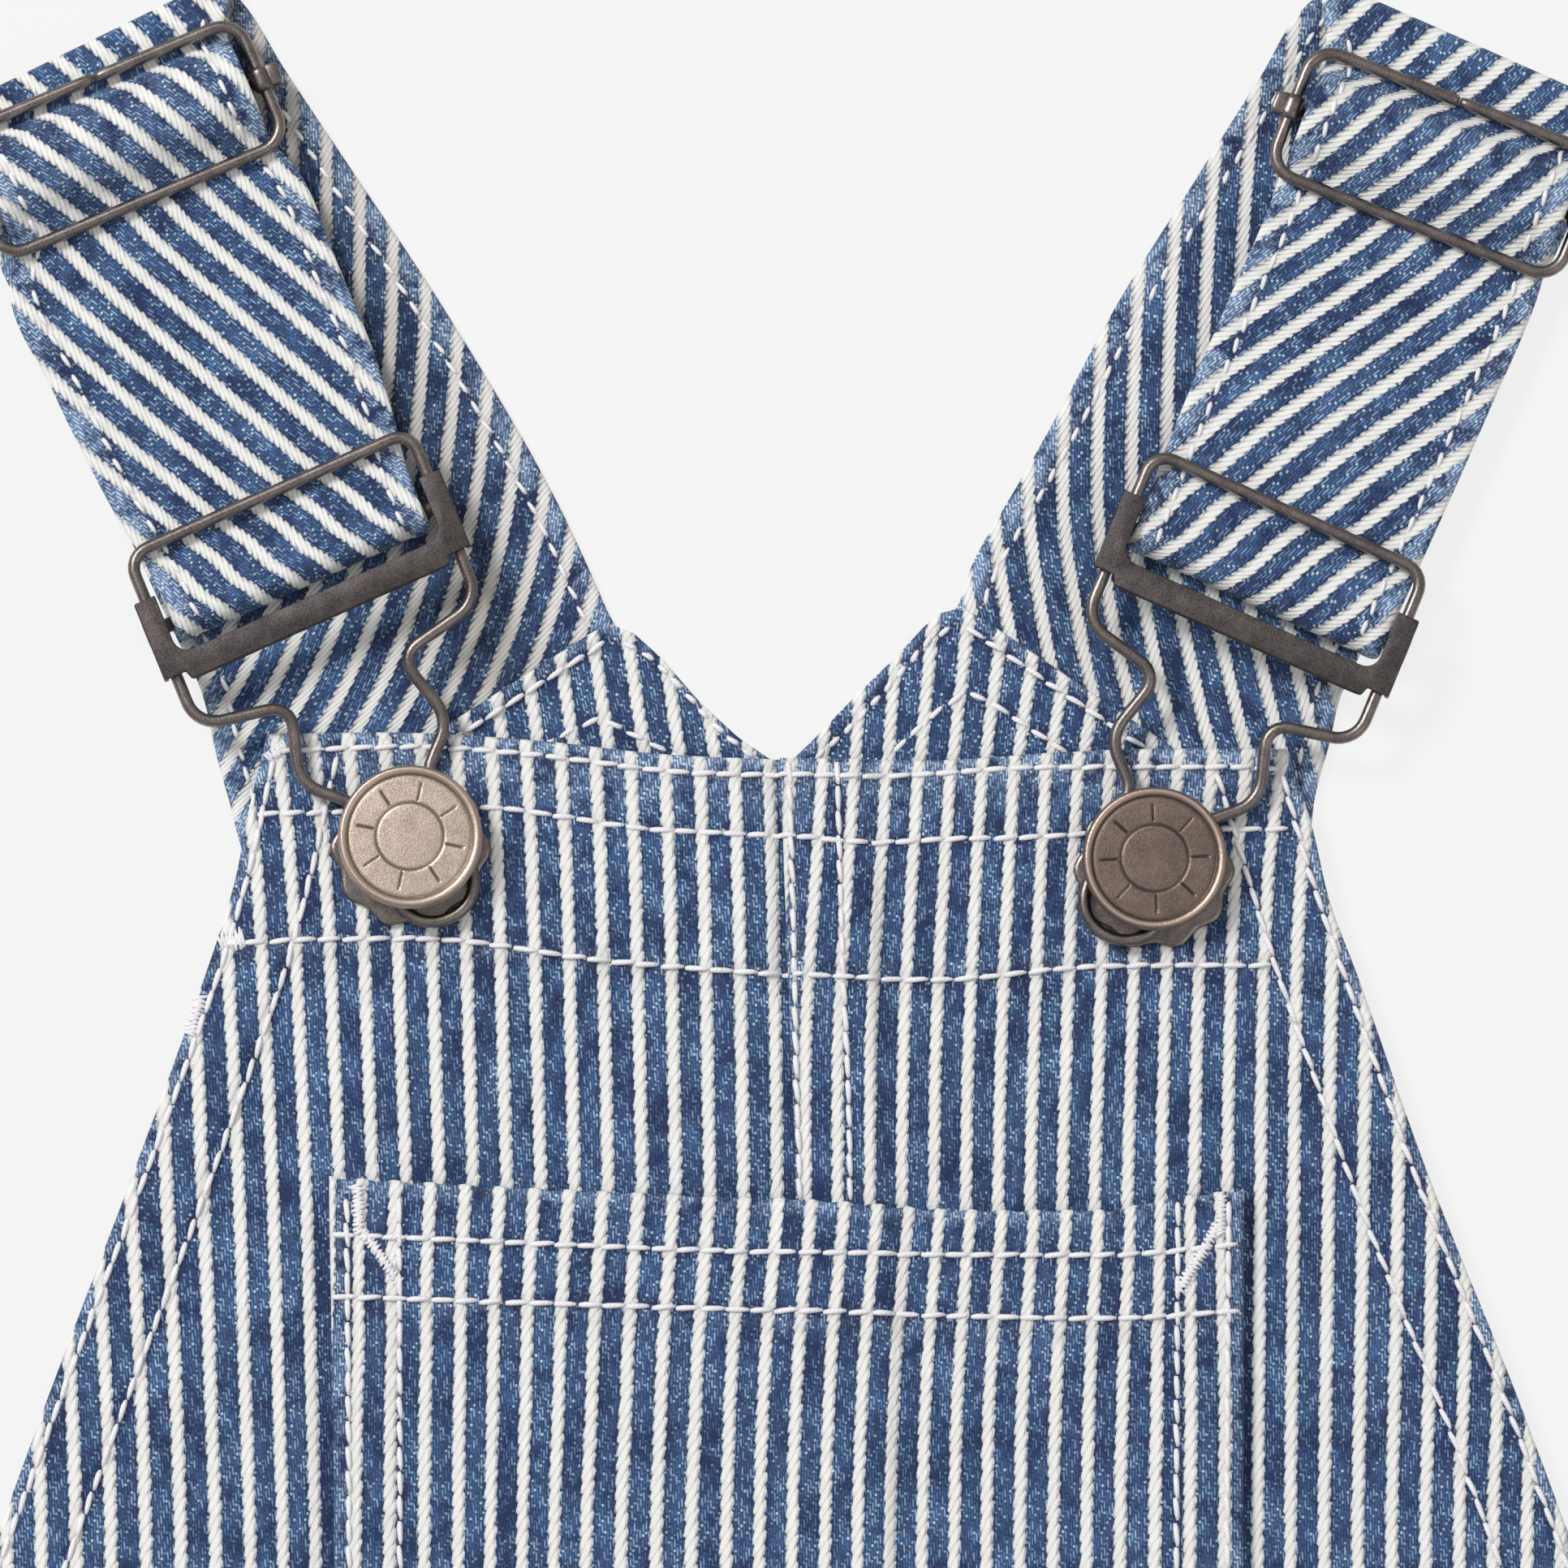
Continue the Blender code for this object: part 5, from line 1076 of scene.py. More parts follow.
def makeStrap(side):
    here, hand, ribbon = sides[side], hands[side], strapRibbon(side)
    here["ribbon"] = ribbon
    shares = spread(30, 36.0, (0.12, 0.35, 0.7, 1.3, 2.2, 3.0, 3.8))
    inner, width, starts = ribbon["inner"], ribbon["width"], ribbon["starts"]
    across = ribbon["outer"] - inner
    line = across[:, :2] / width[:, None]
    sine = np.sin(np.radians(ribbon["tilt"]))
    face = np.stack([line[:, 1] * hand * sine, -line[:, 0] * hand * sine, np.cos(np.radians(ribbon["tilt"]))], -1)
    grid = inner[:, None, :] + shares[None, :, None] * across[:, None, :]
    way = np.repeat(ribbon["way"][:, None], len(shares), 1)
    share = np.repeat(shares[None, :], len(way), 0)
    relief, groove = strapFeel(way, share, width[:, None])
    # quiet where plies lie close on each other
    calmA = 1 - 0.85 * ease(starts["fold"] - 4, starts["fold"], way)
    calmB = ease(ribbon["foldEnds"] - 2, ribbon["foldEnds"] + 2, way)
    calmB = calmB * (1 - 0.9 * ease(starts["return"] - 3, starts["return"], way))
    edge = np.minimum(share, 1 - share) * width[:, None]
    soft = roundOver(edge, 0.7) * roundOver(np.minimum(way, way[-1:, :] - way), 0.6)
    half = ribbon["thick"][:, None] / 2 * (0.12 + 0.88 * soft)
    faceA = grid + face[:, None, :] * (half + np.clip(relief, -0.25, 0.25) * calmA * soft)[..., None]
    faceB = grid - face[:, None, :] * (half + np.clip(relief, -0.25, 0.3) * calmB * soft)[..., None]

    # the strap is two plies sewn together, and each has its own course of stripes
    backCount = stripeCount(stripeRuns[sided("strapBack", side)], grid[..., 0], grid[..., 1])
    k = int(np.argmin(np.abs(ribbon["way"] - starts["front"])))
    centre = (inner[k] + ribbon["outer"][k])[:2] / 2
    down = leaned(hand, here["sliderLean"], (0, 0), 0, -1)
    outward = leaned(hand, here["sliderLean"], (0, 0), hand, 0)
    run = wayAlong(grid[:, len(shares) // 2])
    run = (run - run[k])[:, None]
    # how far the course slips along the strap, and how much it is drawn in, where the strap bends
    slipRun, slips, draws = np.array(here["slip"]).T
    slack = 3.0 * ease(starts["turn"] - 5, starts["turn"] + 3, way[:, :1]) - np.interp(run, slipRun, slips)
    acrossMid = (share - 0.5) * width[:, None] * np.interp(run, slipRun, draws)
    flatX, flatY = (centre[n] + (run + slack) * down[n] + acrossMid * outward[n] for n in (0, 1))
    frontCount = leanedCount(here["frontCourse"], flatX, flatY)
    past = way > starts["fold"] + 1.0
    leanUp = math.radians(here["frontCourse"]["lean"])
    along = flatY * math.cos(leanUp) - flatX * math.sin(leanUp)
    innerPly = weaveAt(np.where(past, frontCount, backCount), np.where(past, along, grid[..., 1]))
    bent = [starts["slider"], starts["slider"] + 4, starts["slider"] + 10, starts["front"]]
    wear = 1.0 * bell(edge, 0.8, 1.4) + 0.35 * bell(edge, 2.2, 0.6)
    wear = wear + 0.6 * np.interp(way, bent, [0.0, 0.25, 0.25, 0.0])
    # painted shadow: the lower stretch is darkened along the upper one's inner edge, where the upper stretch shades
    # it
    (ax, ay), (bx, by) = here["paintedShadow"]
    away = np.abs((grid[..., 0] - ax) * (by - ay) - (grid[..., 1] - ay) * (bx - ax)) / math.hypot(bx - ax, by - ay)
    paintedShadow = here["paintedShadowDepth"] * np.exp(-np.clip(away / 7.5, 0, 6) ** 1.3) * (way < starts["fold"])
    paintedShadow = paintedShadow * (1 - ease(28, 46, -grid[..., 1] + here["slider"][1] - 40))
    # the edge rows' grooves are painted darker (painted shade)
    piece = addCloth(sided("strap", side), f"strap_{side}", denimStrap, hand > 0, faceA, faceB,
                     [innerPly, weaveAt(frontCount, along)], wearAndShadeAt(wear, groove * 0.7, paintedShadow))


for side in hands:
    makeStrap(side)
print("straps made")


# sewing thread: every stitch is a short bent strand that dives into the cloth

threadMake = {"pitch": 2.85, "length": 2.8, "radius": 0.34, "flat": 0.85, "around": 6, "stand": 0.22, "dive": 0.02,
              "swell": [0.76, 1.05, 1.0, 0.9, 0.56], "stray": 0.08, "lengths": (0.94, 1.03), "veer": 0.09,
              "veers": 0.08}
strapThread = dict(threadMake, pitch=2.75, length=1.95, radius=0.29)
tackMake = {"spacing": 0.26, "radius": 0.2, "stand": 0.28, "stands": (0.8, 1.2), "dive": 0.05, "stray": 0.05,
            "lean": 0.22, "leans": (0.2, 1.6), "widths": (0.72, 1.1)}
tacks = {
    "bib": [
        {"from": (-66.9, -18.8), "to": (-63.9, -18.4), "wide": 2.7},
        {"from": (-68.9, -25.4), "to": (-70.2, -30.0), "wide": 2.0},
        {"from": (-61.2, 3.0), "to": (-59.0, 4.6), "wide": 1.8},
    ],
    "pocket": [
        {"from": (-50.3, -47.9), "to": (-50.0, -53.6), "wide": 1.9},
        {"from": (-49.6, -53.4), "to": (-45.3, -59.6), "wide": 1.5},
        {"from": (51.7, -49.3), "to": (51.5, -53.8), "wide": 1.6},
        {"from": (51.3, -52.6), "to": (46.5, -60.5), "wide": 1.6},
    ],
}


def ringWalls(rings, around, first=0, closed=False, flip=False):
    # quads between rings of points
    walls = []
    for k in range(rings if closed else rings - 1):
        here, beyond = first + k * around, first + (k + 1) % rings * around
        for a in range(around):
            b = (a + 1) % around
            wall = (here + a, here + b, beyond + b, beyond + a)
            walls.append((wall[0], wall[3], wall[2], wall[1]) if flip else wall)
    return walls


def fan(tip, first, around, flip=False):
    # triangles from one point to a ring
    rim = [(first + a, first + (a + 1) % around) for a in range(around)]
    return [(tip, b, a) if flip else (tip, a, b) for a, b in rim]


def newStore():
    return {"points": [], "faces": [], "cloth": []}


def addStitches(store, line, heights, make=threadMake, pitch=None, reach=None, sunk=0.0, seed=1):
    # line: fine points in plan; heights: the cloth's level at each of them
    way = wayAlong(line)
    reach, rings, around = reach or make["length"], len(make["swell"]), make["around"]
    count = int(way[-1] / (pitch or make["pitch"]))
    if count < 1:
        return
    pitch = way[-1] / count
    noise = np.random.default_rng(seed)
    stations = np.linspace(0, 1, rings)
    bow = np.sin(stations * math.pi) ** 0.5
    for k in range(count):
        start = k * pitch + (pitch - reach) / 2 + noise.uniform(-1, 1) * make["stray"]
        at = start + stations * reach * noise.uniform(*make["lengths"])
        x, y, z = (np.interp(at, way, values) for values in (line[:, 0], line[:, 1], heights))
        dx, dy = x[-1] - x[0], y[-1] - y[0]
        size = math.hypot(dx, dy) + 1e-9
        nx, ny = -dy / size, dx / size
        veer = (stations - 0.5) * 2 * (make["veer"] + noise.uniform(-1, 1) * make["veers"])
        x, y = x + nx * veer, y + ny * veer
        z = z + make["stand"] * bow - make["dive"] * (1 - bow) - sunk
        first = len(store["points"])
        for i, swell in enumerate(make["swell"]):
            thick = make["radius"] * swell
            for a in range(around):
                turn = 2 * math.pi * a / around
                out = thick * math.cos(turn)
                lift = make["flat"] * thick * math.sin(turn)
                store["points"].append((x[i] + nx * out, y[i] + ny * out, z[i] + lift))
                store["cloth"].append((at[i] * mm, turn, k * 0.001))
        store["faces"] += ringWalls(rings, around, first)
        store["faces"].append(tuple(first + a for a in reversed(range(around))))
        store["faces"].append(tuple(first + (rings - 1) * around + a for a in range(around)))


def addTack(store, tack, height, seed):
    # a bartack: strands laid side to side, close together, over a short line
    (ax, ay), (bx, by) = tack["from"], tack["to"]
    length = math.hypot(bx - ax, by - ay)
    dx, dy = (bx - ax) / length, (by - ay) / length
    noise = np.random.default_rng(seed)
    count = int(length / tackMake["spacing"])
    for k in range(count):
        at = (k + 0.5) / count * length + noise.uniform(-1, 1) * tackMake["stray"]
        lean = tackMake["lean"] * (1 if k % 2 else -1) * noise.uniform(*tackMake["leans"])
        half = tack["wide"] / 2 * noise.uniform(*tackMake["widths"])
        line = np.array([(ax + dx * (at + lean * s) - dy * half * s, ay + dy * (at + lean * s) + dx * half * s)
                         for s in (-1, -0.5, 0, 0.5, 1)])
        stand = tackMake["stand"] * noise.uniform(*tackMake["stands"])
        strand = dict(threadMake, radius=tackMake["radius"], stand=stand, dive=tackMake["dive"])
        addStitches(store, line, height(line[:, 0], line[:, 1]), strand, 2 * half * 0.98, 2 * half * 0.96,
                    seed=seed + k)


def finishStitches(name, store):
    addPiece(name, store["points"], store["faces"], threadWhite, (), store["cloth"])
    print(f"{name}: {len(store['faces']) // 26} stitches")


def sewOn(store, line, height, **options):
    fine = alongLine(softLine(line, 3.0), 0.5)
    addStitches(store, fine, height(fine[:, 0], fine[:, 1]), **options)


def levelOfFronts(x, y):
    onLeft = x < lapEdge(dropAt(x, y))
    return np.where(onLeft, frontTop("left", x, y)[1], frontTop("right", x, y)[1])


bibStitches = newStore()
for number, name in enumerate(("top", "second", "third")):
    sewOn(bibStitches, bibRows[name], levelOfFronts, seed=10 + number)
for number, side in enumerate(hands):
    sewOn(bibStitches, rowsOn[side][3]["line"], levelOfFronts, seed=20 + number)
    sewOn(bibStitches, rowsOn[side][4]["line"], levelOfFronts, seed=30 + number)
for number in (5, 6):
    sewOn(bibStitches, rowsOn["right"][number]["line"], levelOfFronts, pitch=2.9, seed=40 + number)
for number, tack in enumerate(tacks["bib"]):
    addTack(bibStitches, tack, levelOfFronts, 500 + 50 * number)
finishStitches("bibStitches", bibStitches)

pocketStitches = newStore()
pocketFoot = {"line": [(-50.5, -147.5), (-41.0, -157.0), (0.0, -157.4), (41.4, -157.0), (51.0, -147.5)]}
for row, seed in zip(pocketRows + [pocketFoot], (60, 61, 62, 63, 64, 65, 70)):
    sewOn(pocketStitches, row["line"], pocketLevel, seed=seed)
for number, tack in enumerate(tacks["pocket"]):
    addTack(pocketStitches, tack, pocketLevel, 900 + 50 * number)
finishStitches("pocketStitches", pocketStitches)

backStitches = newStore()
for side, seed in (("left", 80), ("right", 85)):
    for place, row in enumerate(backRows[side]):
        sewOn(backStitches, row["line"], lambda x, y: backLevel(side, x, y),
              pitch=row["pitch"], reach=row["reach"], sunk=0.08, seed=seed + place)
finishStitches("backStitches", backStitches)

hemStitches = newStore()
for side, hand in hands.items():
    outer, inner = (float(edge(side, 686)) for edge in (sideEdge, crotchEdge))  # the hem's row lies near this drop
    for seed, drop in ((90, 684.5), (91, 701.2)):
        level = frontCut["topEdge"] - drop
        sewOn(hemStitches, [(inner + hand * 1.5, level), (outer - hand * 1.5, level)], levelOfFronts, seed=seed)
finishStitches("hemStitches", hemStitches)


def sewStrap(side):
    store, ribbon = newStore(), sides[side]["ribbon"]
    across, width, way, starts = ribbon["outer"] - ribbon["inner"], ribbon["width"], ribbon["way"], ribbon["starts"]
    inset = strapCut["edgeRow"] / width
    stretches = ((1.5, starts["fold"] - 0.5, 110), (starts["slider"] - 3, starts["turn"] + 1.5, 100))
    for low, high, seed in stretches:
        pick = (way > low) & (way < high)
        for place, share in enumerate((inset, 1 - inset)):
            spots = ribbon["inner"] + share[:, None] * across
            lift, _ = strapFeel(way, share, width)
            level = spots[:, 2] + ribbon["thick"] / 2 + np.clip(lift, -0.25, 0.25)
            addStitches(store, spots[pick][:, :2], level[pick], strapThread, sunk=0.06,
                        seed=seed + place + 30 * (side == "right"))
    finishStitches(sided("strapStitches", side), store)


for side in hands:
    sewStrap(side)
print("stitches made")


# metal

def loopOutline(corners, steps):
    # a closed outline through corners, each rounded to its own radius
    points = []
    for i, (x, y, radius) in enumerate(corners):
        corner, before, after = (Vector(corners[n % len(corners)][:2]) for n in (i, i - 1, i + 1))
        toBefore, toAfter = (before - corner).normalized(), (after - corner).normalized()
        angle = toBefore.angle(toAfter)
        reach = radius / math.tan(angle / 2)
        middle = corner + (toBefore + toAfter).normalized() * (radius / math.sin(angle / 2))
        start, end = corner + toBefore * reach - middle, corner + toAfter * reach - middle
        first = math.atan2(start.y, start.x)
        sweep = (math.atan2(end.y, end.x) - first + math.pi) % (2 * math.pi) - math.pi
        for step in range(steps + 1):
            turn = first + sweep * step / steps
            points.append((middle.x + radius * math.cos(turn), middle.y + radius * math.sin(turn)))
    return points


def evenPath(points, step, closed=False):
    points = np.asarray(points, float)
    if closed:
        points = np.concatenate([points, points[:1]])
    way = wayAlong(points)
    at = np.linspace(0, way[-1], max(int(way[-1] / step), 4))
    at = at[:-1] if closed else at
    return np.stack([np.interp(at, way, points[:, k]) for k in range(3)], -1)


def tubeAlong(path, radius, around=16, closed=False, rounded=False):
    # a round wire; an open one can get softly rounded ends
    count = len(path)
    ahead = np.roll(path, -1, 0) - np.roll(path, 1, 0) if closed else np.gradient(path, axis=0)
    ahead /= np.linalg.norm(ahead, axis=1)[:, None]
    across = np.cross(ahead, [0, 0, 1.0])
    across /= np.linalg.norm(across, axis=1)[:, None]
    up = np.cross(across, ahead)
    radii = np.full(count, radius, float)
    if rounded:
        radii[[0, -1]] *= 0.72
        radii[[1, -2]] *= 0.93
    turns = [2 * math.pi * a / around for a in range(around)]
    points = [path[k] + radii[k] * (across[k] * math.cos(turn) + up[k] * math.sin(turn))
              for k in range(count) for turn in turns]
    faces = ringWalls(count, around, closed=closed)
    if not closed:
        faces.append(tuple(reversed(range(around))))
        faces.append(tuple((count - 1) * around + a for a in range(around)))
    return points, faces


def rod(start, end, *shape, step=1.0, **more):
    return tubeAlong(evenPath([start, end], step), *shape, **more)


def gather(parts):
    points, faces = [], []
    for somePoints, someFaces in parts:
        first = len(points)
        points += [tuple(p) for p in somePoints]
        faces += [tuple(first + v for v in face) for face in someFaces]
    return points, faces


def softenedBlock(outline, low, high, bevel, steps=3):
    # a stamped shape with rolled-over edges
    shape = bmesh.new()
    lower, upper = ([shape.verts.new((x, y, z)) for x, y in outline] for z in (low, high))
    shape.faces.new(list(reversed(lower)))
    shape.faces.new(upper)
    for k in range(len(outline)):
        n = (k + 1) % len(outline)
        shape.faces.new((lower[k], lower[n], upper[n], upper[k]))
    bmesh.ops.recalc_face_normals(shape, faces=shape.faces)
    bmesh.ops.bevel(shape, geom=shape.edges[:], offset=bevel, segments=steps, profile=0.5, affect="EDGES",
                    clamp_overlap=True)
    shape.verts.index_update()
    points = [tuple(v.co) for v in shape.verts]
    faces = [tuple(v.index for v in face.verts) for face in shape.faces]
    shape.free()
    return points, faces


def upright(low, high, start, end):
    # a straight-sided outline
    return [(low, start), (high, start), (high, end), (low, end)]


def addMetal(word, node, side, part, lean, points, faces, material, worn=None):
    # a piece of metal at its place on the garment
    place = [(*leaned(hands[side], lean, sides[side][part], x, y), z) for x, y, z in points]
    return addPiece(sided(word, side), place, faces, material, [f"{node}_{side}"], worn=worn)


def makeSlider(side):
    make, lean = sliderMake, sides[side]["sliderLean"]
    wide, high, corner, level = make["halfWidth"], make["halfHeight"], make["corner"], make["level"]
    outline = loopOutline([(wide, -high, corner), (wide, high, corner), (-wide, high, corner),
                           (-wide, -high, corner)], 10)
    # the wire's two ends meet in a butt joint at the middle of the top
    top = [k for k, p in enumerate(outline) if p[1] > high - 0.01 and p[0] < 0]
    first = max(top, key=lambda k: outline[k][0])
    path = [(-0.07, high), *outline[first:], *outline[:first], (0.07, high)]
    frame = tubeAlong(evenPath([(x, y, level) for x, y in path], 0.7), make["wire"], 18, rounded=True)
    addMetal("sliderFrame", "slider_frame", side, "slider", lean, *frame, wireMetal)

    barLevel, barEnd = level - make["barDrop"], wide - make["barShort"]
    parts = [rod((-barEnd, 0, barLevel), (barEnd, 0, barLevel), make["bar"], 16)]
    for place in (-1, 1):
        # a sleeve pinched round the frame's side, and its folded end outside
        ends = [(place * wide, y, level) for y in (-make["sleeveHalf"], make["sleeveHalf"])]
        parts.append(rod(*ends, make["sleeve"], 20, step=0.3, rounded=True))
        a, b = sorted((place * (wide + 0.7), place * (wide + 2.35)))
        if place > 0:
            knob = [(a, -1.4), (b - 0.1, -1.3), (b, -0.2), (b, 1.2), (a, 1.45)]
        else:
            knob = [(a, -1.3), (b, -1.4), (b, 1.45), (a, 1.2), (a - 0.02, -0.2)]
        parts.append(softenedBlock(knob, level - 1.0, level + 1.05, 0.4, 4))
    addMetal("sliderBar", "slider_bar", side, "slider", lean, *gather(parts), wireMetal)


def makeBuckleWire(side):
    make, half = buckleMake, sides[side]["wireHalf"]
    right = make["corners"] + [(half, *make["shoulder"]), (half, *make["top"])]
    outline = loopOutline(right + [(-x, y, r) for x, y, r in reversed(right)], 9)
    path = evenPath([(x + float(pulled(side, y)), y, 0.0) for x, y in outline], 0.7, closed=True)
    path[:, 2] = make["buttonLevel"] + (make["level"] - make["buttonLevel"]) * ease(*make["slope"], path[:, 1])
    wire = tubeAlong(path, make["wire"], 18, closed=True)
    addMetal("buckleWire", "buckle_wire", side, "buckle", sides[side]["buckleLean"], *wire, wireMetal)


def makeBucklePlate(side):
    make, half = buckleMake, sides[side]["wireHalf"]
    wide, arm, foot = half + make["plateBeyond"], half - make["plateArm"], half - make["notch"]
    low, barTop, top = make["plateLow"], make["plateBar"], make["plateTop"]
    ends, corner, barUp = make["plateEnds"], make["plateCorner"], make["barUp"]
    outline = [(-wide, ends), (-arm, ends), (-foot, low), (foot, low), (arm, ends), (wide, ends), (wide, top),
               (arm, top)]
    for place, start in ((1, 0), (-1, -90)):
        for step in range(7):
            turn = math.radians(start - 90 * step / 6)
            outline.append((place * (arm - corner) + corner * math.cos(turn),
                            barTop + corner + corner * math.sin(turn)))
    outline += [(-arm, top), (-wide, top)]
    wireTop, wireFoot = make["level"] + make["wire"], make["level"] - make["wire"]
    level = wireTop + 0.3
    parts = [softenedBlock(outline, level, level + make["plateThick"], 0.16)]
    for place in (-1, 1):
        # the plate's sides roll down over the wire, and hold the bar
        a, b = sorted((place * (wide - 0.5), place * (wide + 0.06)))
        parts.append(softenedBlock(upright(a, b, ends + 0.06, top - 0.06), wireFoot, level + 0.4, 0.14))
        ear = upright(a, b, barUp - 1.4, barUp + 1.4)
        parts.append(softenedBlock(ear, make["barLevel"] - 1.4, wireFoot + 0.1, 0.12))
    # a rolled lip along the bar's lower edge, and the bar that the strap turns round
    lip = (foot - 0.2, low + 0.1, level + 0.12)
    parts.append(rod((-lip[0], *lip[1:]), lip, 0.24, 10, rounded=True))
    parts.append(rod((0.2 - wide, barUp, make["barLevel"]), (wide - 0.2, barUp, make["barLevel"]), make["bar"], 16))
    points, faces = gather(parts)
    points = [(x + float(pulled(side, y)), y, z) for x, y, z in points]
    lean = sides[side]["buckleLean"]
    piece = addMetal("bucklePlate", "buckle_plate", side, "buckle", lean, points, faces, plateMetal)
    piece.data.set_sharp_from_angle(angle=math.radians(50))


buttonMake = {
    "face": 7.75, "bottom": 6.05, "groove": 0.16, "innerRing": 4.0,
    "ticks": 8, "tickIn": 4.25, "tickOut": 6.5, "turned": {"left": -12.0, "right": 2.0},
    "capRings": [0.25, 0.7, 1.4, 2.2, 3.0, 3.6, 3.78, 3.88, 4.0, 4.12, 4.22, 4.4, 4.6, 4.9, 5.2, 5.5, 5.8, 6.1, 6.4,
                 6.55, 6.75, 7.0, 7.2, 7.32, 7.42, 7.55, 7.75, 7.95, 8.15, 8.35, 8.48, 8.55],
    "rim": ([7.0, 7.32, 7.55, 7.9, 8.15, 8.35, 8.48, 8.55], [0, -0.06, 0.25, 0.45, 0.42, 0.2, -0.15, -0.7]),
    "side": [(8.55, 7.05), (8.35, 6.45), (7.65, 6.05)],
    "lobes": 10, "wave": 0.4, "slip": 1.0,
    # each ring of the collar: how far it waves, its radius and height, and how far it slips down the bib
    "collarRings": [(1, 8.25, 0.0, 1), (1, 8.95, 0.03, 1), (1, 9.15, 0.25, 1), (1, 9.0, 0.45, 1), (1, 8.55, 0.5, 1),
                    (1, 7.55, 0.42, 1), (0, 6.4, 0.9, 1), (0, 5.0, 1.1, 0), (0, 2.7, 0.6, 0), (0, 2.3, 0.9, 0),
                    (0, 2.3, 2.05, 0)],
}


def makeCap(side):
    make, around = buttonMake, 480
    turns = 2 * np.pi * np.arange(around) / around
    radii = np.array(make["capRings"])
    ring = make["face"] - make["groove"] * bell(radii, make["innerRing"], 0.13)
    dome = 0.10 * (1 - (radii / 7.4) ** 2)
    level = np.repeat((ring + np.maximum(dome, 0) + np.interp(radii, *make["rim"]))[:, None], around, 1)
    struck = (bell(radii, make["innerRing"], 0.15) + 0.9 * bell(radii, 7.3, 0.14))[:, None] + 0 * level
    start = math.radians(90 + make["turned"][side])
    within = ((radii > make["tickIn"]) & (radii < make["tickOut"]))[:, None]
    for tick in range(make["ticks"]):
        angle = start + tick * 2 * math.pi / make["ticks"]
        off = np.abs((turns - angle + math.pi) % (2 * math.pi) - math.pi)[None, :] * radii[:, None]
        level = level - make["groove"] * bell(off, 0, 0.13) * within
        struck = np.maximum(struck, bell(off, 0, 0.15) * within)
    points = np.stack([radii[:, None] * np.cos(turns), radii[:, None] * np.sin(turns), level], -1).reshape(-1,
                                                                                                           3).tolist()
    worn = np.zeros((len(points) + 3 * around + 2, 3))
    worn[:len(points), 0] = np.repeat(bell(radii, 7.95, 0.4), around)
    worn[:len(points), 1] = np.clip(struck, 0, 1).ravel()
    # down the side and across the back
    for radius, height in make["side"]:
        points += [(radius * math.cos(t), radius * math.sin(t), height) for t in turns]
    rings = len(points) // around
    points += [(0, 0, make["face"] + 0.1), (0, 0, make["bottom"])]
    faces = ringWalls(rings, around, flip=True) + fan(len(points) - 2, 0, around)
    faces += fan(len(points) - 1, (rings - 1) * around, around, flip=True)
    addMetal("buttonCap", "button_cap", side, "button", 0.0, points, faces, buttonMetals[side], worn)


def makeCollar(side):
    # crimped collar below the cap, and the shank that rises from it
    make, around = buttonMake, 160
    turns = 2 * np.pi * np.arange(around) / around
    low = frontCut["floor"] + frontCut["ply"] + frontCut["turned"] + 0.3
    points = []
    for wave, radius, height, slip in make["collarRings"]:
        rim = radius + wave * make["wave"] * np.cos(make["lobes"] * turns)
        points += [(r * math.cos(t), r * math.sin(t) - slip * make["slip"], low + height) for r, t in zip(rim, turns)]
    rings = len(points) // around
    points += [(0, -make["slip"], low), (0, 0, low + height)]
    faces = ringWalls(rings, around) + fan(len(points) - 2, 0, around, flip=True)
    faces += fan(len(points) - 1, (rings - 1) * around, around)
    addMetal("buttonCollar", "button_collar", side, "button", 0.0, points, faces, wireMetal)


for side in hands:
    makeSlider(side)
    makeBuckleWire(side)
    makeBucklePlate(side)
    makeCap(side)
    makeCollar(side)
print("metal made")


# floor, light and camera

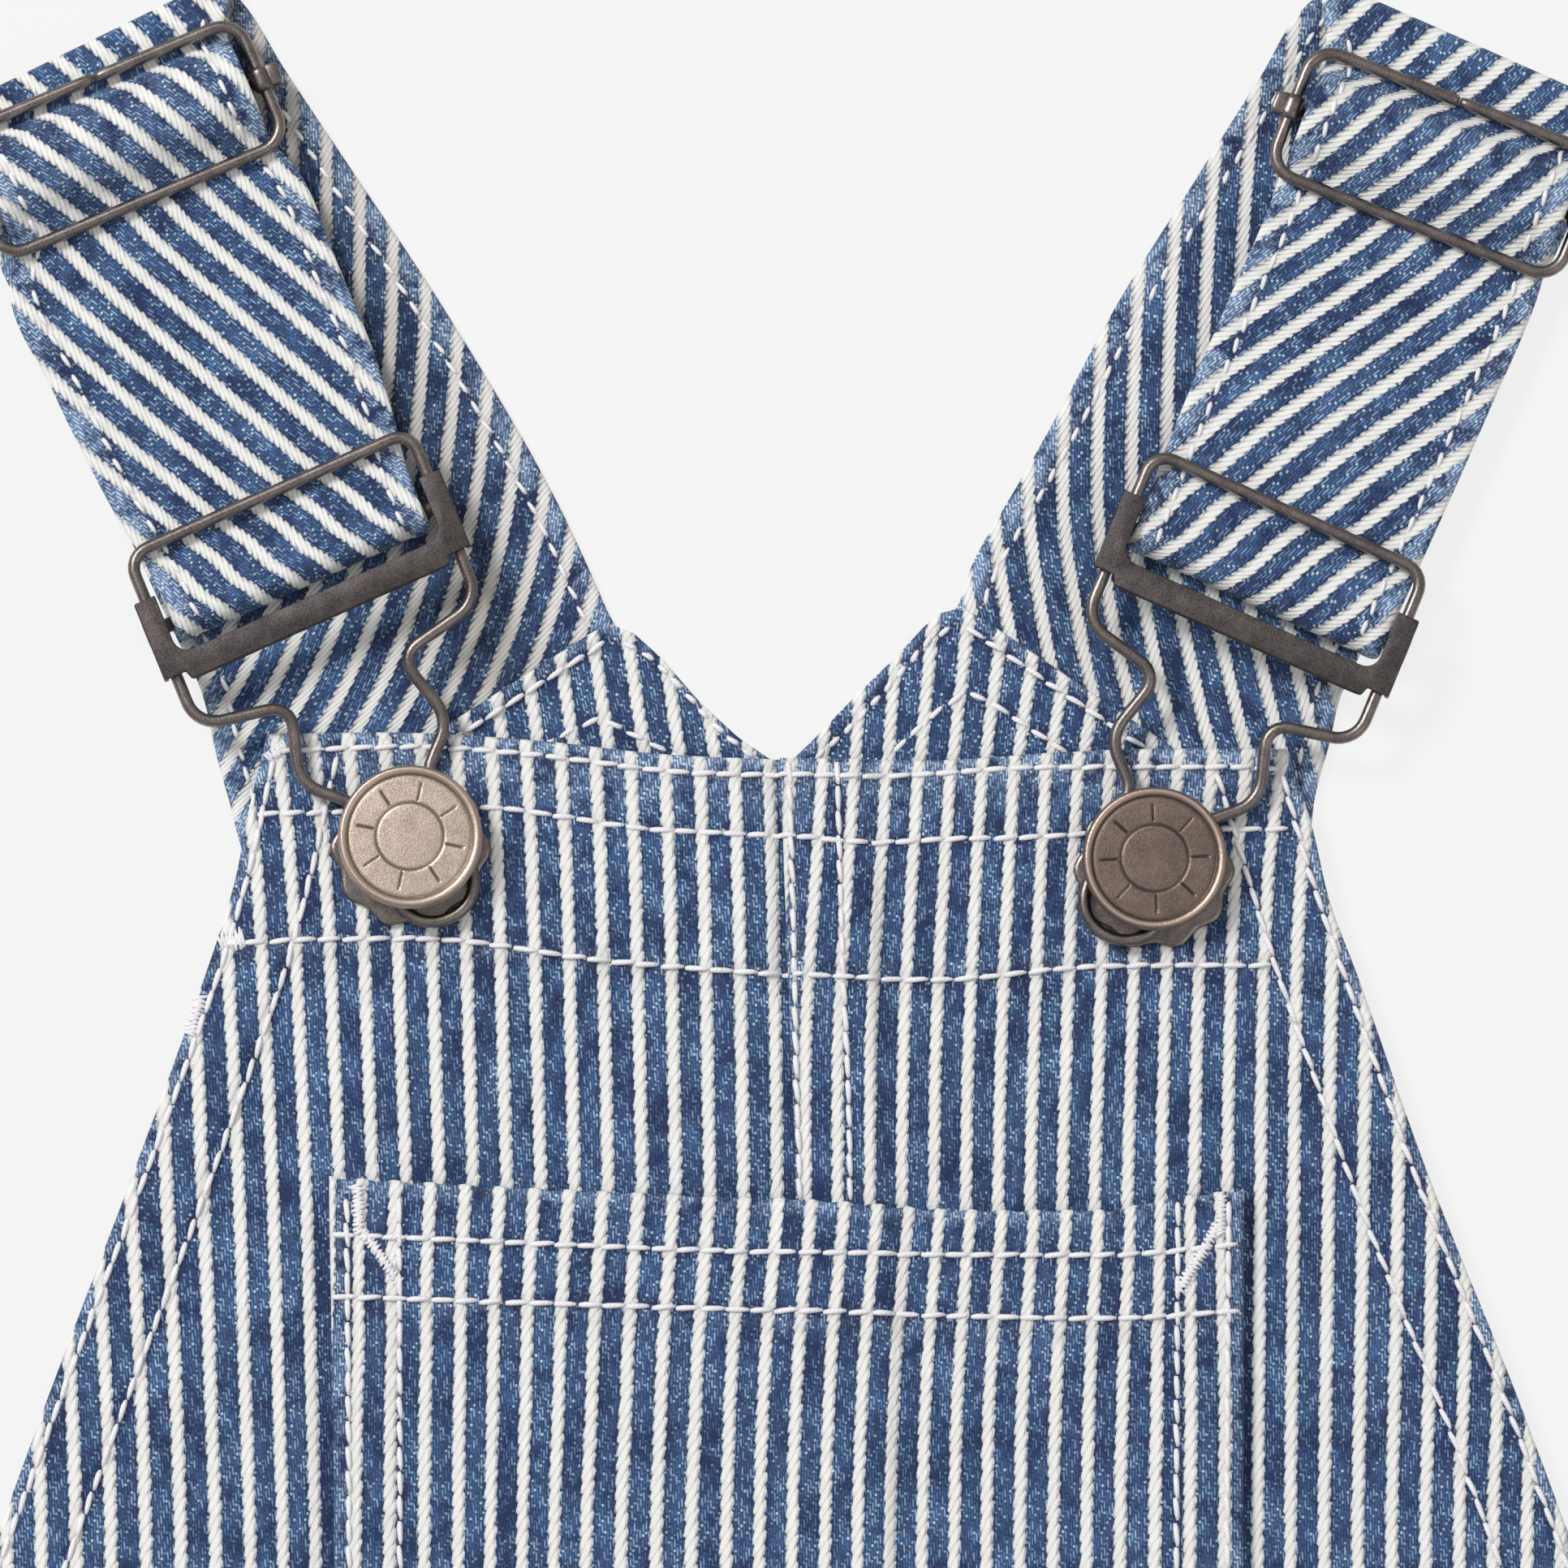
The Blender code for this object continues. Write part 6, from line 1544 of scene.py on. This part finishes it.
lampAim = Vector((0, 0.3, 0))
lampSetup = {
    "keyLamp": {"place": (-1.2, 1.25, 1.7), "size": 0.7, "power": 34.0},
    "fillLamp": {"place": (1.3, -0.6, 1.6), "size": 1.2, "power": 4.0},
}
view = {"target": Vector((0.0, 0.3016, 0.003)), "elevation": 83.0, "distance": 1.9, "sensor": 36.0, "across": 0.1858}


def makeStage():
    bpy.ops.mesh.primitive_circle_add(vertices=96, radius=4.0, fill_type="NGON", location=(0, 0, -0.0002))
    floor = bpy.context.object
    floor.name = "floor"
    material, _, _ = newMaterial("paleFloor", {
        "Base Color": (0.1, 0.1, 0.1, 1), "Roughness": 0.9, "Specular IOR Level": 0.1,
        "Emission Color": (1, 1, 1, 1), "Emission Strength": 0.81})
    floor.data.materials.append(material)


def makeLight():
    scene = bpy.context.scene
    for name, setup in lampSetup.items():
        lamp = bpy.data.lights.new(name, "AREA")
        lamp.shape = "DISK"
        lamp.size = setup["size"]
        lamp.energy = setup["power"]
        holder = bpy.data.objects.new(name, lamp)
        holder.location = setup["place"]
        aim = lampAim - holder.location
        holder.rotation_euler = aim.to_track_quat("-Z", "Y").to_euler()
        scene.collection.objects.link(holder)
    scene.world = bpy.data.worlds.new("studio")
    scene.world.use_nodes = True
    tree = scene.world.node_tree
    sky = tree.nodes["Background"].inputs
    high = softStep(partsOf(tree.nodes.new("ShaderNodeTexCoord").outputs["Generated"])[2], -0.1, 0.9)
    feed(blendColour(high, (0.42, 0.42, 0.425, 1), (0.96, 0.96, 0.965, 1)), sky["Color"])
    sky["Strength"].default_value = 0.58
    scene.view_settings.view_transform = "Standard"


def makeCamera():
    eye = bpy.data.cameras.new("camera")
    eye.sensor_width = view["sensor"]
    eye.lens = view["sensor"] * view["distance"] / view["across"]
    holder = bpy.data.objects.new("camera", eye)
    tilt = math.radians(view["elevation"])
    holder.location = view["target"] + Vector((0, -math.cos(tilt), math.sin(tilt))) * view["distance"]
    holder.rotation_euler = (math.radians(90) - tilt, 0, 0)
    bpy.context.scene.collection.objects.link(holder)
    bpy.context.scene.camera = holder


makeStage()
makeLight()
makeCamera()

print("stage made")
